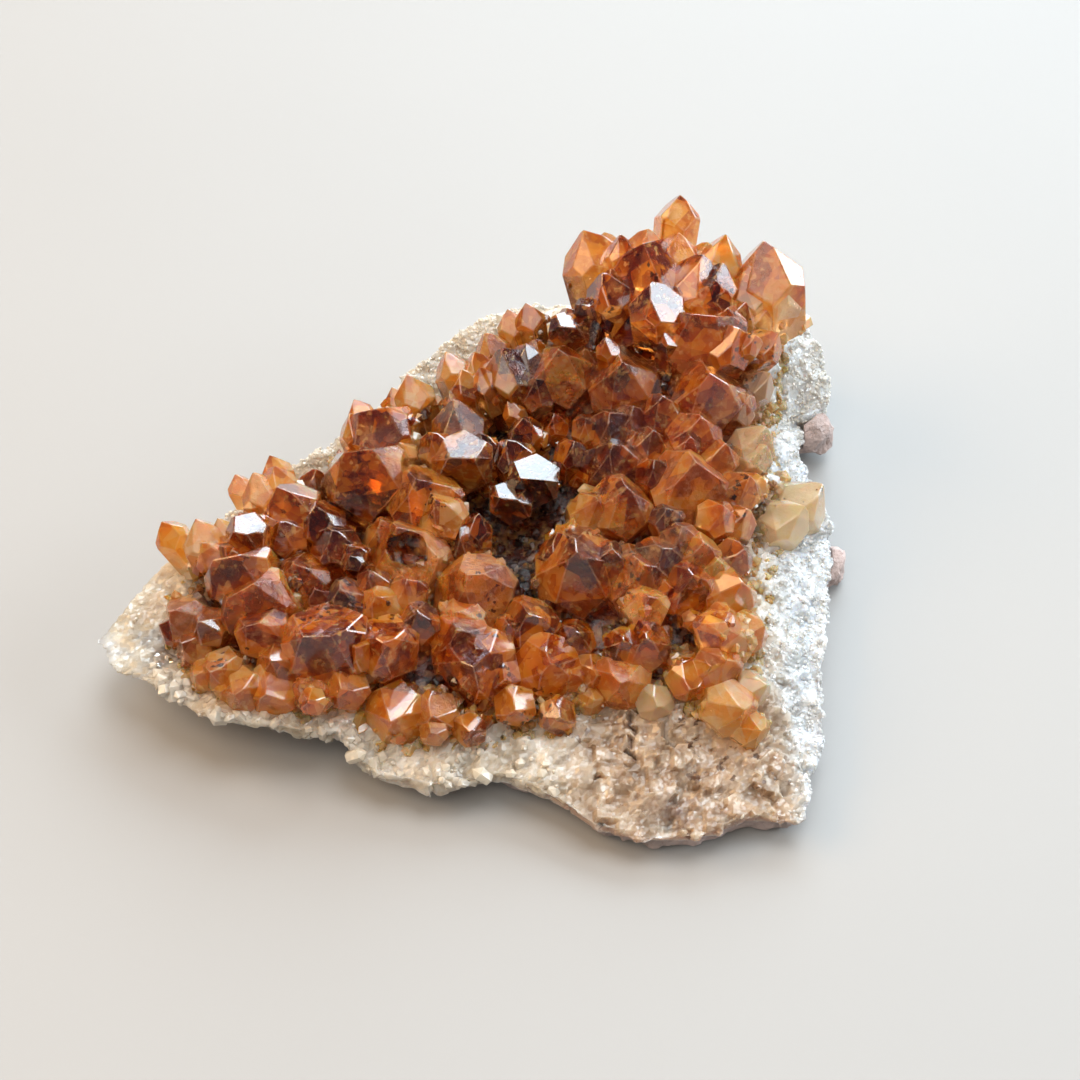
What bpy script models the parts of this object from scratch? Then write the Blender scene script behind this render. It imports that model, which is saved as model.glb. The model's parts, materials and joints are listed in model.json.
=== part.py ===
"""Citrine cluster: heat-coloured quartz points on a white quartz matrix with a thin rock rind.

The sizes below are millimetres. +Z is up, -Y is the front, and the rind's flat underside rests
at z = 0. Positions are laid out about a working point and moved by CENTRE at the end, so the
finished part stands with the middle of its footprint at the origin.
"""
import math
import random

import bmesh
import bpy
from mathutils import Matrix, Vector, noise

MM = 0.001
CENTRE = Vector((-9.4, 7.0, 0.0))

NAME = "citrine_cluster"
GAP = 0.3
RIND_TOP = 4.0
GRID_STEP = 6.4
CRUST_DEPTH = 1.5
RHOMB_SLOPE = math.radians(51.8)
ROOT_TAPER = 0.85
SHOULDER_SWELL = 1.34

# Edge of the white matrix, clockwise from the left tip:
# x, y, height of the matrix top at the edge, distance over which it climbs to the plateau.
MATRIX_EDGE = [
    (-74.4, -16.0, 10.0, 12.0),
    (-70.5, -9.5, 11.0, 10.0),
    (-66.5, -0.5, 12.0, 7.0),
    (-60.0, 7.5, 12.5, 6.0),
    (-53.0, 14.5, 13.0, 6.0),
    (-46.0, 21.5, 14.0, 7.0),
    (-39.0, 27.0, 15.0, 8.0),
    (-30.0, 37.0, 15.5, 8.0),
    (-23.0, 46.5, 16.0, 9.0),
    (-16.0, 54.0, 16.5, 10.0),
    (-9.0, 58.5, 18.0, 10.0),
    (2.0, 60.0, 19.0, 9.0),
    (16.0, 61.0, 19.5, 9.0),
    (30.0, 60.5, 19.5, 9.0),
    (42.0, 60.0, 19.0, 9.0),
    (51.0, 56.0, 18.5, 9.0),
    (54.5, 47.0, 13.0, 12.0),
    (54.0, 42.5, 9.5, 14.0),
    (49.5, 38.0, 9.0, 13.0),
    (47.0, 29.0, 9.0, 12.0),
    (50.5, 20.0, 11.0, 12.0),
    (52.0, 13.0, 9.5, 13.0),
    (50.8, 3.0, 8.0, 14.0),
    (49.5, -8.0, 8.0, 14.0),
    (47.5, -20.0, 7.5, 14.0),
    (47.0, -29.0, 7.0, 16.0),
    (44.5, -37.0, 6.5, 18.0),
    (42.0, -47.0, 6.0, 22.0),
    (33.5, -46.5, 6.5, 24.0),
    (25.0, -49.8, 6.0, 25.0),
    (17.0, -50.3, 6.0, 26.0),
    (8.8, -48.0, 6.5, 24.0),
    (2.5, -43.2, 7.0, 22.0),
    (-6.5, -38.6, 7.5, 22.0),
    (-17.8, -41.3, 7.2, 24.0),
    (-26.0, -39.0, 7.5, 22.0),
    (-31.5, -35.5, 8.5, 16.0),
    (-32.5, -31.8, 9.5, 12.0),
    (-42.0, -32.4, 11.5, 9.0),
    (-49.0, -31.8, 12.0, 8.0),
    (-56.0, -29.5, 12.0, 8.0),
    (-63.0, -24.5, 11.5, 8.0),
    (-69.0, -20.5, 10.5, 10.0),
]

# Ground covered by the crystal crust, clockwise.
CRUST_EDGE = [
    (-65.0, -13.0), (-63.5, -3.0), (-58.0, 5.0), (-51.0, 12.5), (-43.0, 19.5), (-33.0, 29.0),
    (-25.0, 39.0), (-15.0, 47.5), (-4.0, 54.0), (8.0, 58.5), (24.0, 59.5), (38.0, 58.5),
    (46.0, 53.0), (45.5, 43.0), (43.5, 31.0), (44.0, 16.0), (41.5, 5.0), (39.0, -8.0),
    (37.5, -19.0), (35.0, -32.0), (26.0, -29.0), (17.5, -27.5), (8.5, -29.0), (3.0, -32.5),
    (-7.0, -33.0), (-17.0, -35.0), (-25.0, -34.5), (-30.0, -30.5), (-42.0, -29.5),
    (-52.0, -28.0), (-60.0, -22.0),
]

# Edge of the rock rind, clockwise. It is set back under the front and the left.
RIND_EDGE = [
    (-38.0, -8.0), (-37.0, 6.0), (-33.0, 18.0), (-24.0, 34.0), (-14.0, 47.0), (4.0, 55.0),
    (24.0, 57.0), (40.0, 55.5), (50.0, 51.0), (52.5, 44.5), (48.5, 36.0), (46.5, 28.0),
    (49.0, 20.0), (51.0, 12.0), (50.0, 2.0), (48.5, -10.0), (46.5, -20.0), (46.0, -29.0),
    (43.5, -37.0), (41.0, -46.0), (33.5, -45.5), (25.0, -48.6), (17.6, -49.2), (10.0, -46.4),
    (3.0, -40.0), (-14.0, -35.0), (-26.0, -29.0), (-34.0, -20.0),
]

# Knobs of rock on the right-hand edge: x, y, z, radius.
RIND_KNOBS = [
    (51.4, 38.6, 5.2, 4.4),
    (51.6, 8.4, 3.0, 4.0),
]

# Crystal points: tip x, tip y, tip z, width part-way down the point, lean from upright,
# direction of the lean (degrees anticlockwise from +X), length of the point down to its root.
# Points that end in a plain ridge or in a few broad faces also give the turn of the prism about
# its own axis and the directions their broad faces look in.
LEFT_POINTS = [
    (-64.3, 2.5, 22.0, 5.0, 25, 165, 13),
    (-58.0, 1.0, 24.5, 7.0, 18, 140, 14),
    (-56.5, -3.0, 23.0, 6.0, 20, 190, 13),
    (-52.5, -4.5, 23.5, 6.0, 15, 230, 13),
    (-61.3, -15.3, 20.0, 7.0, 36, 215, 14),
    (-51.0, -8.6, 26.0, 10.5, 22, 210, 18, 0, (90, 270)),
    (-48.0, -14.4, 25.0, 10.5, 28, 225, 19, 20, (110, 290)),
    (-47.0, -20.1, 22.5, 8.0, 28, 250, 16, 10, (100, 280)),
    (-55.8, -17.9, 20.5, 6.0, 28, 235, 14),
    (-58.9, -20.0, 17.5, 6.0, 36, 235, 11),
    (-63.3, -15.5, 16.5, 5.0, 40, 205, 9),
    (-49.3, 11.0, 25.0, 6.5, 22, 140, 15),
    (-47.0, 16.0, 24.0, 5.0, 25, 130, 13),
    (-45.5, 12.0, 25.5, 5.5, 12, 120, 14),
    (-44.5, 6.0, 27.0, 10.0, 18, 170, 18),
    (-38.0, 3.0, 25.5, 7.5, 8, 200, 15),
    (-44.0, 0.5, 24.0, 6.5, 14, 210, 14),
    (-34.8, -2.0, 25.0, 7.0, 10, 250, 15),
    (-51.0, 2.5, 24.0, 5.0, 16, 160, 13),
    (-41.0, -8.0, 23.5, 8.5, 14, 240, 14),
    (-53.5, -26.0, 17.5, 6.5, 40, 240, 12),
    (-49.3, -29.8, 16.5, 6.5, 46, 255, 11),
    (-44.2, -30.0, 17.0, 8.5, 44, 262, 12),
]
FRONT_POINTS = [
    (-43.4, -25.6, 20.0, 7.0, 32, 250, 14),
    (-36.5, -24.0, 24.5, 12.5, 26, 262, 20, 0, (90, 270)),
    (-25.2, -24.0, 23.0, 9.5, 28, 268, 18),
    (-32.0, -29.5, 18.0, 6.5, 38, 262, 12),
    (-24.0, -34.2, 15.5, 9.5, 46, 262, 14),
    (-20.0, -17.5, 22.5, 6.0, 16, 280, 15),
    (-13.5, -20.7, 22.0, 9.0, 24, 258, 16),
    (-10.7, -27.0, 20.5, 12.5, 38, 270, 19),
    (-2.0, -16.9, 21.5, 8.5, 18, 262, 15),
    (1.7, -25.6, 19.5, 9.5, 34, 278, 16),
    (-4.0, -32.0, 15.5, 6.0, 44, 268, 11),
    (-17.5, -33.3, 15.5, 6.5, 42, 258, 11),
    (3.0, -32.5, 14.0, 5.5, 42, 285, 9),
    (-38.0, -30.5, 16.5, 5.5, 44, 258, 10),
    (9.4, -25.1, 15.5, 6.5, 36, 285, 11),
    (6.2, -18.4, 18.5, 6.5, 18, 280, 12),
]
MIDDLE_POINTS = [
    (-28.0, -8.8, 22.5, 5.0, 8, 240, 12),
    (-22.0, -10.5, 22.5, 5.5, 6, 300, 12),
    (-27.0, -14.0, 22.5, 7.5, 16, 260, 14),
    (-33.0, -12.5, 22.5, 7.0, 14, 235, 14),
    (-12.0, -11.2, 24.5, 12.5, 20, 240, 18),
    (-24.0, -2.5, 26.0, 12.0, 10, 200, 18),
    (-13.5, 1.0, 22.5, 7.0, 8, 250, 13),
    (-10.4, 3.4, 23.0, 4.5, 10, 60, 12),
    (-6.0, 5.5, 24.5, 6.5, 38, 262, 14, 52, (82, 262)),
    (0.0, 8.0, 26.5, 9.5, 38, 264, 16, 54, (84, 264)),
    (-13.4, 12.0, 27.5, 9.5, 38, 268, 17, 58, (88, 268)),
    (-21.0, 6.0, 29.0, 11.5, 14, 250, 19, 30, (300, 180, 60)),
    (-31.0, 10.9, 30.0, 12.5, 14, 215, 21, 0, (90, 270)),
    (6.0, -8.4, 27.0, 13.0, 20, 262, 19),
    (12.0, -6.0, 25.0, 7.0, 10, 300, 14),
    (3.0, -1.5, 24.0, 6.5, 12, 110, 13),
    (-5.7, 16.8, 27.0, 6.5, 12, 170, 15),
    (-10.2, 18.0, 27.0, 4.5, 8, 120, 13),
    (6.0, 18.3, 25.0, 5.5, 8, 300, 13),
    (2.5, 26.0, 24.0, 5.0, 6, 240, 12),
]
BACK_LEFT_POINTS = [
    (-33.0, 28.0, 25.5, 4.0, 26, 135, 13),
    (-33.5, 24.0, 26.0, 5.5, 20, 140, 14),
    (-28.3, 22.3, 29.0, 9.5, 16, 190, 18, 0, (90, 270)),
    (-23.8, 32.5, 27.0, 6.5, 20, 130, 15),
    (-15.0, 24.5, 29.0, 8.5, 12, 120, 17),
    (-18.5, 17.5, 28.0, 6.0, 10, 200, 15),
    (-6.8, 34.5, 31.5, 9.5, 18, 140, 18),
    (-2.5, 36.5, 31.0, 6.5, 10, 100, 15),
    (-0.8, 29.5, 29.0, 6.0, 10, 250, 15),
    (3.2, 33.0, 33.0, 11.0, 14, 250, 19),
    (-3.0, 22.0, 27.0, 5.5, 10, 200, 14),
    (-16.8, 38.5, 27.0, 5.5, 24, 135, 14),
    (-11.8, 37.5, 28.0, 5.0, 18, 130, 14),
    (-13.8, 33.0, 28.0, 5.5, 14, 135, 14),
    (-5.9, 46.5, 30.0, 5.0, 24, 130, 14),
    (-2.6, 46.5, 31.5, 5.0, 18, 120, 14),
    (-10.0, 42.5, 28.0, 5.5, 22, 140, 13),
]
SUMMIT_POINTS = [
    (18.2, 47.8, 44.5, 20.0, 11, 180, 27, 6, (336, 216, 96)),
    (11.0, 44.5, 40.5, 7.5, 16, 170, 20),
    (4.8, 42.0, 34.5, 8.5, 16, 160, 17),
    (28.6, 35.8, 38.5, 14.5, 14, 275, 24, 355, (85, 265)),
    (35.0, 34.5, 36.5, 8.0, 20, 330, 18),
    (29.5, 26.5, 33.5, 12.0, 18, 275, 18),
    (14.6, 28.5, 34.0, 11.5, 16, 258, 18),
    (28.9, 46.5, 43.0, 9.5, 14, 30, 20),
    (31.0, 42.0, 41.0, 6.5, 16, 340, 16),
    (36.6, 42.5, 35.5, 6.0, 20, 20, 15),
    (7.8, 55.5, 41.0, 9.0, 22, 125, 21),
    (14.3, 53.0, 42.0, 5.5, 14, 110, 16),
    (19.3, 53.5, 43.0, 6.5, 10, 90, 18),
    (25.4, 61.0, 44.5, 6.5, 16, 75, 22),
    (24.8, 53.0, 42.5, 10.5, 10, 70, 20),
    (33.4, 53.0, 42.0, 7.0, 16, 60, 20),
    (40.0, 51.4, 42.0, 11.5, 12, 140, 21),
    (44.5, 48.5, 38.0, 8.0, 14, 20, 17),
    (42.5, 38.0, 32.0, 6.0, 30, 350, 14),
    (41.0, 32.5, 27.5, 5.5, 28, 350, 12),
    (41.5, 44.0, 33.0, 6.5, 32, 10, 14),
]
RIGHT_POINTS = [
    (12.1, 21.4, 29.0, 7.5, 10, 250, 15),
    (16.3, 23.4, 28.5, 6.0, 8, 300, 15),
    (19.5, 18.8, 27.0, 6.5, 10, 320, 14),
    (12.3, 15.0, 28.0, 11.0, 12, 262, 17),
    (19.6, 12.5, 26.5, 5.5, 8, 250, 14),
    (26.5, 9.8, 29.0, 13.0, 14, 290, 18),
    (14.6, 5.0, 28.0, 10.0, 14, 300, 17),
    (20.4, -6.8, 26.0, 8.0, 18, 290, 14),
    (27.3, -4.7, 25.0, 7.0, 16, 300, 14),
    (23.6, -2.0, 26.0, 6.0, 10, 280, 13),
    (21.3, 2.0, 26.0, 5.0, 8, 260, 13),
    (36.0, 10.0, 25.0, 7.0, 22, 350, 13),
    (39.5, 22.0, 25.0, 7.5, 24, 0, 14),
    (37.0, 27.5, 27.0, 6.0, 22, 340, 13),
    (27.7, 19.7, 30.0, 8.5, 12, 300, 16),
    (21.4, 24.5, 30.0, 7.5, 8, 280, 15),
    (32.0, 16.0, 27.0, 6.5, 14, 330, 13),
    (35.3, 4.5, 23.0, 6.5, 24, 340, 12),
    (34.4, -3.5, 22.0, 6.0, 26, 330, 11),
    (33.6, -10.8, 22.0, 8.5, 28, 320, 13),
    (31.0, 3.0, 25.5, 6.0, 16, 310, 13),
    (50.0, 15.5, 17.0, 9.0, 38, 15, 12),
    (46.0, 9.5, 18.0, 8.0, 32, 350, 12),
    (17.2, -9.5, 25.0, 11.5, 20, 280, 17),
    (25.3, -10.9, 24.0, 9.5, 24, 295, 16),
    (17.3, -22.0, 21.5, 7.5, 22, 270, 14),
    (24.3, -28.7, 16.5, 6.0, 58, 272, 14),
    (24.8, -19.0, 22.0, 6.5, 50, 185, 13),
    (30.0, -25.5, 20.0, 7.0, 30, 300, 13),
    (32.5, -32.3, 16.5, 8.0, 42, 300, 12),
    (13.0, -28.0, 17.5, 8.5, 38, 262, 13),
    (37.0, -17.5, 19.0, 6.5, 34, 330, 11),
    (37.0, -27.0, 15.5, 5.5, 40, 330, 9),
    (19.0, -30.5, 14.5, 5.5, 44, 275, 9),
]
POINTS = (
    LEFT_POINTS + FRONT_POINTS + MIDDLE_POINTS + BACK_LEFT_POINTS + SUMMIT_POINTS + RIGHT_POINTS
)

# Small points that fill the hollows between the large ones.
FILL_SPACING = 8.0
FILL_WIDTH = (4.2, 6.2)
FILL_RISE = (5.5, 8.5)
FILL_CLEARANCE = 0.62


def smooth(t):
    """Ease from 0 to 1 with flat ends."""
    t = min(max(t, 0.0), 1.0)
    return t * t * (3.0 - 2.0 * t)


def edge_distance(x, y, edge):
    """Distance from a point to the closed outline, negative outside it."""
    best = 1e9
    inside = False
    count = len(edge)
    for i in range(count):
        ax, ay = edge[i][0], edge[i][1]
        bx, by = edge[(i + 1) % count][0], edge[(i + 1) % count][1]
        dx, dy = bx - ax, by - ay
        t = ((x - ax) * dx + (y - ay) * dy) / (dx * dx + dy * dy)
        t = min(max(t, 0.0), 1.0)
        best = min(best, math.hypot(x - ax - t * dx, y - ay - t * dy))
        if (ay > y) != (by > y) and x < ax + (y - ay) * dx / dy:
            inside = not inside
    return best if inside else -best


def plateau(x, y):
    """Height of the matrix away from its edges: low at the left, highest under the summit."""
    back = smooth((y - 6.0) / 34.0) * smooth((x + 14.0) / 28.0)
    left = smooth((-x - 30.0) / 40.0)
    front = smooth((-y - 4.0) / 20.0)
    return 12.5 + 10.0 * back - 0.8 * left - 1.5 * front


def matrix_top(x, y):
    """Height of the rough matrix surface."""
    total = height = climb = 0.0
    for ex, ey, edge_height, edge_climb in MATRIX_EDGE:
        weight = 1.0 / (1.0 + (x - ex) ** 2 + (y - ey) ** 2) ** 1.5
        total += weight
        height += weight * edge_height
        climb += weight * edge_climb
    height /= total
    climb /= total
    t = smooth(edge_distance(x, y, MATRIX_EDGE) / climb)
    rough = 0.9 * noise.noise(Vector((x * 0.16, y * 0.16, 3.7)))
    return height + (plateau(x, y) - height) * t + rough


def matrix_underside(x, y):
    """Flat over the rind, lifting clear of the ground towards the left tip."""
    return RIND_TOP + GAP + 5.8 * smooth((-x - 24.0) / 26.0)


def new_object(name, bm, collection):
    """Give the finished mesh an object in the collection."""
    bmesh.ops.recalc_face_normals(bm, faces=bm.faces[:])
    bmesh.ops.scale(bm, vec=(MM, MM, MM), verts=bm.verts[:])
    bmesh.ops.translate(bm, vec=-CENTRE * MM, verts=bm.verts[:])
    mesh = bpy.data.meshes.new(name)
    bm.to_mesh(mesh)
    bm.free()
    obj = bpy.data.objects.new(name, mesh)
    collection.objects.link(obj)
    return obj


def prism_mesh(edge, low, high, grow=0.0):
    """Upright block over an outline, optionally grown sideways."""
    bm = bmesh.new()
    count = len(edge)
    corners = []
    for i in range(count):
        here = Vector(edge[i][:2])
        along = Vector(edge[(i + 1) % count][:2]) - Vector(edge[i - 1][:2])
        outward = Vector((-along.y, along.x)).normalized()
        here = here + outward * grow
        corners.append(bm.verts.new((here.x, here.y, low)))
    floor = bm.faces.new(corners)
    raised = bmesh.ops.extrude_face_region(bm, geom=[floor], use_keep_orig=True)
    lifted = [v for v in raised["geom"] if isinstance(v, bmesh.types.BMVert)]
    bmesh.ops.translate(bm, vec=(0.0, 0.0, high - low), verts=lifted)
    return bm


def sheet_mesh(top, bottom):
    """Slab between two height functions, wider than the whole part."""
    bm = bmesh.new()
    width, depth = 144.0, 126.0
    middle = Matrix.Translation((CENTRE.x, CENTRE.y, 0.0))
    bmesh.ops.create_grid(
        bm,
        x_segments=round(width / GRID_STEP),
        y_segments=round(depth / GRID_STEP),
        size=0.5,
        matrix=middle @ Matrix.Diagonal((width, depth, 1.0, 1.0)),
    )
    raised = bmesh.ops.extrude_face_region(bm, geom=bm.faces[:], use_keep_orig=True)
    lifted = {v for v in raised["geom"] if isinstance(v, bmesh.types.BMVert)}
    for vert in bm.verts:
        height = top if vert in lifted else bottom
        vert.co.z = height(vert.co.x, vert.co.y)
    bmesh.ops.triangulate(bm, faces=bm.faces[:], quad_method="FIXED")
    return bm


def crystal_mesh(tip, width, lean, toward, length, twist, broad, rng):
    """One quartz point: a six-sided prism ended by six unequal sloping faces."""
    bm = bmesh.new()
    width = width * SHOULDER_SWELL
    radius = 0.5 * width / math.cos(math.radians(15.0))
    bmesh.ops.create_cone(
        bm,
        cap_ends=True,
        segments=6,
        radius1=radius * ROOT_TAPER,
        radius2=radius,
        depth=length,
        matrix=Matrix.Translation((0.0, 0.0, -0.5 * length)),
    )
    for side in range(6):
        around = math.radians(30.0 + 60.0 * side)
        slope = RHOMB_SLOPE + math.radians(rng.uniform(-2.0, 2.0))
        normal = Vector((
            math.sin(slope) * math.cos(around),
            math.sin(slope) * math.sin(around),
            math.cos(slope),
        ))
        looks = 30.0 + 60.0 * side + twist
        major = side % 2 == 0
        if broad:
            major = any(math.cos(math.radians(looks - angle)) > 0.95 for angle in broad)
        deep = rng.uniform(0.18, 0.32) * (1.0 if broad else 0.6)
        shallow = rng.uniform(0.0, 0.12)
        depth = width * (deep if major else shallow)
        cut = bmesh.ops.bisect_plane(
            bm,
            geom=bm.verts[:] + bm.edges[:] + bm.faces[:],
            plane_co=(0.0, 0.0, -depth),
            plane_no=normal,
            clear_outer=True,
        )
        rim = [e for e in cut["geom_cut"] if isinstance(e, bmesh.types.BMEdge)]
        if rim:
            bmesh.ops.holes_fill(bm, edges=rim, sides=0)
    top = max(v.co.z for v in bm.verts)
    crest = [v.co for v in bm.verts if v.co.z > top - 0.04 * width]
    apex = sum(crest, Vector()) / len(crest)
    turn = Matrix.Rotation(math.radians(toward), 4, "Z")
    tilt = turn @ Matrix.Rotation(math.radians(lean), 4, "Y") @ turn.inverted()
    place = Matrix.Translation(tip) @ tilt @ Matrix.Rotation(math.radians(twist), 4, "Z")
    bmesh.ops.transform(bm, matrix=place @ Matrix.Translation(-apex), verts=bm.verts[:])
    return bm


def fill_points(rng):
    """Places for the small points, on a shaken grid wherever no large point stands."""
    rows = []
    x_count = int(130.0 / FILL_SPACING)
    y_count = int(112.0 / FILL_SPACING)
    for i in range(x_count):
        for j in range(y_count):
            x = -72.0 + (i + 0.5 * (j % 2)) * FILL_SPACING + rng.uniform(-1.6, 1.6)
            y = -46.0 + j * FILL_SPACING + rng.uniform(-1.6, 1.6)
            width = rng.uniform(*FILL_WIDTH)
            rise = rng.uniform(*FILL_RISE)
            spin = rng.uniform(0.0, 360.0)
            if edge_distance(x, y, CRUST_EDGE) < 1.5:
                continue
            crowded = False
            for row in POINTS:
                if math.hypot(x - row[0], y - row[1]) < FILL_CLEARANCE * (row[3] + width) * 0.8:
                    crowded = True
            if not crowded:
                z = matrix_top(x, y) + rise
                rows.append((x, y, z, width, 14.0, spin, rise + 4.0))
    return rows


def add_boolean(obj, operation, operand=None, collection=None):
    """Exact Boolean against one object or against every object of a collection."""
    modifier = obj.modifiers.new(operation.lower(), "BOOLEAN")
    modifier.operation = operation
    modifier.solver = "EXACT"
    if collection is None:
        modifier.object = operand
    else:
        modifier.operand_type = "COLLECTION"
        modifier.collection = collection


def join_flats(obj):
    """Leave one face where several lie in the same plane."""
    modifier = obj.modifiers.new("join_flats", "DECIMATE")
    modifier.decimate_type = "DISSOLVE"
    modifier.angle_limit = math.radians(0.1)


def settle(obj):
    """Keep the outer skin of a Boolean result: the pockets sealed inside it are solid quartz."""
    graph = bpy.context.evaluated_depsgraph_get()
    mesh = bpy.data.meshes.new_from_object(obj.evaluated_get(graph))
    bm = bmesh.new()
    bm.from_mesh(mesh)
    bmesh.ops.dissolve_degenerate(bm, dist=0.00001, edges=bm.edges[:])
    shells = []
    waiting = set(bm.verts)
    while waiting:
        shell = set()
        reached = [waiting.pop()]
        while reached:
            vert = reached.pop()
            shell.add(vert)
            for edge in vert.link_edges:
                other = edge.other_vert(vert)
                if other in waiting:
                    waiting.discard(other)
                    reached.append(other)
        shells.append(shell)
    outer = max(shells, key=len)
    inner = [v for v in bm.verts if v not in outer]
    bmesh.ops.delete(bm, geom=inner, context="VERTS")
    bm.to_mesh(mesh)
    bm.free()
    obj.modifiers.clear()
    obj.data = mesh
    mesh.name = obj.name


def hide_cutters(collection):
    """Cutters are drawn as wires and never rendered."""
    for obj in collection.objects:
        obj.hide_render = True
        obj.display_type = "WIRE"


def add_material(obj, name, colour, roughness, ior):
    """Each piece has a Principled material of its own."""
    material = bpy.data.materials.new(name)
    material.use_nodes = True
    shader = material.node_tree.nodes["Principled BSDF"]
    shader.inputs["Base Color"].default_value = (*colour, 1.0)
    shader.inputs["Roughness"].default_value = roughness
    shader.inputs["IOR"].default_value = ior
    material.diffuse_color = (*colour, 1.0)
    obj.data.materials.append(material)


def build_matrix(collection, cutters):
    """The white quartz body."""
    body = new_object("quartz_matrix", sheet_mesh(matrix_top, matrix_underside), collection)
    outline = new_object("matrix_outline", prism_mesh(MATRIX_EDGE, -5.0, 60.0), cutters)
    add_boolean(body, "INTERSECT", operand=outline)
    join_flats(body)
    return body


def build_matrix_room(cutters):
    """The matrix and a hair's breadth of space round it, carried down below the ground."""
    room = new_object(
        "matrix_room",
        sheet_mesh(lambda x, y: matrix_top(x, y) + GAP, lambda x, y: -4.0),
        cutters,
    )
    outline = new_object("room_outline", prism_mesh(MATRIX_EDGE, -5.0, 60.0, GAP), cutters)
    add_boolean(room, "INTERSECT", operand=outline)
    return room


def build_crystals(collection, cutters, room):
    """Crust and crystal points joined into one solid and cut clear of the matrix."""
    crystals = new_object(
        "citrine_crystals",
        sheet_mesh(
            lambda x, y: matrix_top(x, y) + CRUST_DEPTH,
            lambda x, y: matrix_top(x, y) - 1.0,
        ),
        collection,
    )
    outline = new_object("crust_outline", prism_mesh(CRUST_EDGE, -5.0, 60.0), cutters)
    add_boolean(crystals, "INTERSECT", operand=outline)
    growths = bpy.data.collections.new("crystal_growths")
    cutters.children.link(growths)
    rng = random.Random(51)
    rows = POINTS + fill_points(random.Random(8))
    for index, row in enumerate(rows):
        tip = Vector(row[:3])
        width, lean, toward, length = row[3:7]
        spin = rng.uniform(0.0, 60.0)
        twist, broad = row[7:] if len(row) > 7 else (spin, ())
        bm = crystal_mesh(tip, width, lean, toward, length, twist, broad, rng)
        new_object(f"growth_{index:03d}", bm, growths)
    hide_cutters(growths)
    add_boolean(crystals, "UNION", collection=growths)
    add_boolean(crystals, "DIFFERENCE", operand=room)
    settle(crystals)
    return crystals


def build_rind(collection, cutters):
    """Thin rock skin with a flat resting face and two knobs on its right-hand edge."""
    bm = prism_mesh(RIND_EDGE, 0.0, RIND_TOP)
    lower = [e for e in bm.edges if all(v.co.z < 0.1 for v in e.verts)]
    bmesh.ops.bevel(bm, geom=lower, offset=1.6, segments=1, affect="EDGES")
    rind = new_object("rock_rind", bm, collection)
    knobs = bpy.data.collections.new("rind_knobs")
    cutters.children.link(knobs)
    for index, (x, y, z, radius) in enumerate(RIND_KNOBS):
        bm = bmesh.new()
        place = Matrix.Translation((x, y, z))
        bmesh.ops.create_icosphere(bm, subdivisions=2, radius=radius, matrix=place)
        for vert in bm.verts:
            push = 1.0 + 0.22 * noise.noise(vert.co * 0.45)
            vert.co = Vector((x, y, z)) + (vert.co - Vector((x, y, z))) * push
            vert.co.z = max(vert.co.z, 0.8)
        new_object(f"knob_{index}", bm, knobs)
    hide_cutters(knobs)
    add_boolean(rind, "UNION", collection=knobs)
    above = new_object("above_rind", prism_mesh(MATRIX_EDGE, RIND_TOP, 60.0, GAP), cutters)
    add_boolean(rind, "DIFFERENCE", operand=above)
    join_flats(rind)
    return rind


def main():
    """Clear the start-up scene and build the three pieces."""
    for obj in list(bpy.data.objects):
        bpy.data.objects.remove(obj, do_unlink=True)
    parts = bpy.data.collections.new(NAME)
    cutters = bpy.data.collections.new(NAME + "_cutters")
    bpy.context.scene.collection.children.link(parts)
    bpy.context.scene.collection.children.link(cutters)
    matrix = build_matrix(parts, cutters)
    crystals = build_crystals(parts, cutters, build_matrix_room(cutters))
    rind = build_rind(parts, cutters)
    hide_cutters(cutters)
    add_material(crystals, "citrine", (0.56, 0.19, 0.035), 0.12, 1.544)
    add_material(matrix, "milky_quartz", (0.86, 0.83, 0.78), 0.45, 1.544)
    add_material(rind, "host_rock", (0.36, 0.28, 0.24), 0.85, 1.5)


main()
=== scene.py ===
"""Citrine cluster: see-through burnt orange quartz points on a sparkling white quartz matrix.

Sizes in the tables are millimetres about a working point; CENTRE moves them to the frame, where
the middle of the footprint is the origin, +Z is up and -Y is the front.
"""
import json
import math
import random

import bmesh
import bpy
import numpy as np
from bpy.props import (
    FloatProperty,
    FloatVectorProperty,
    IntProperty,
    PointerProperty,
)
from mathutils import Matrix, Vector, noise

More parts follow.
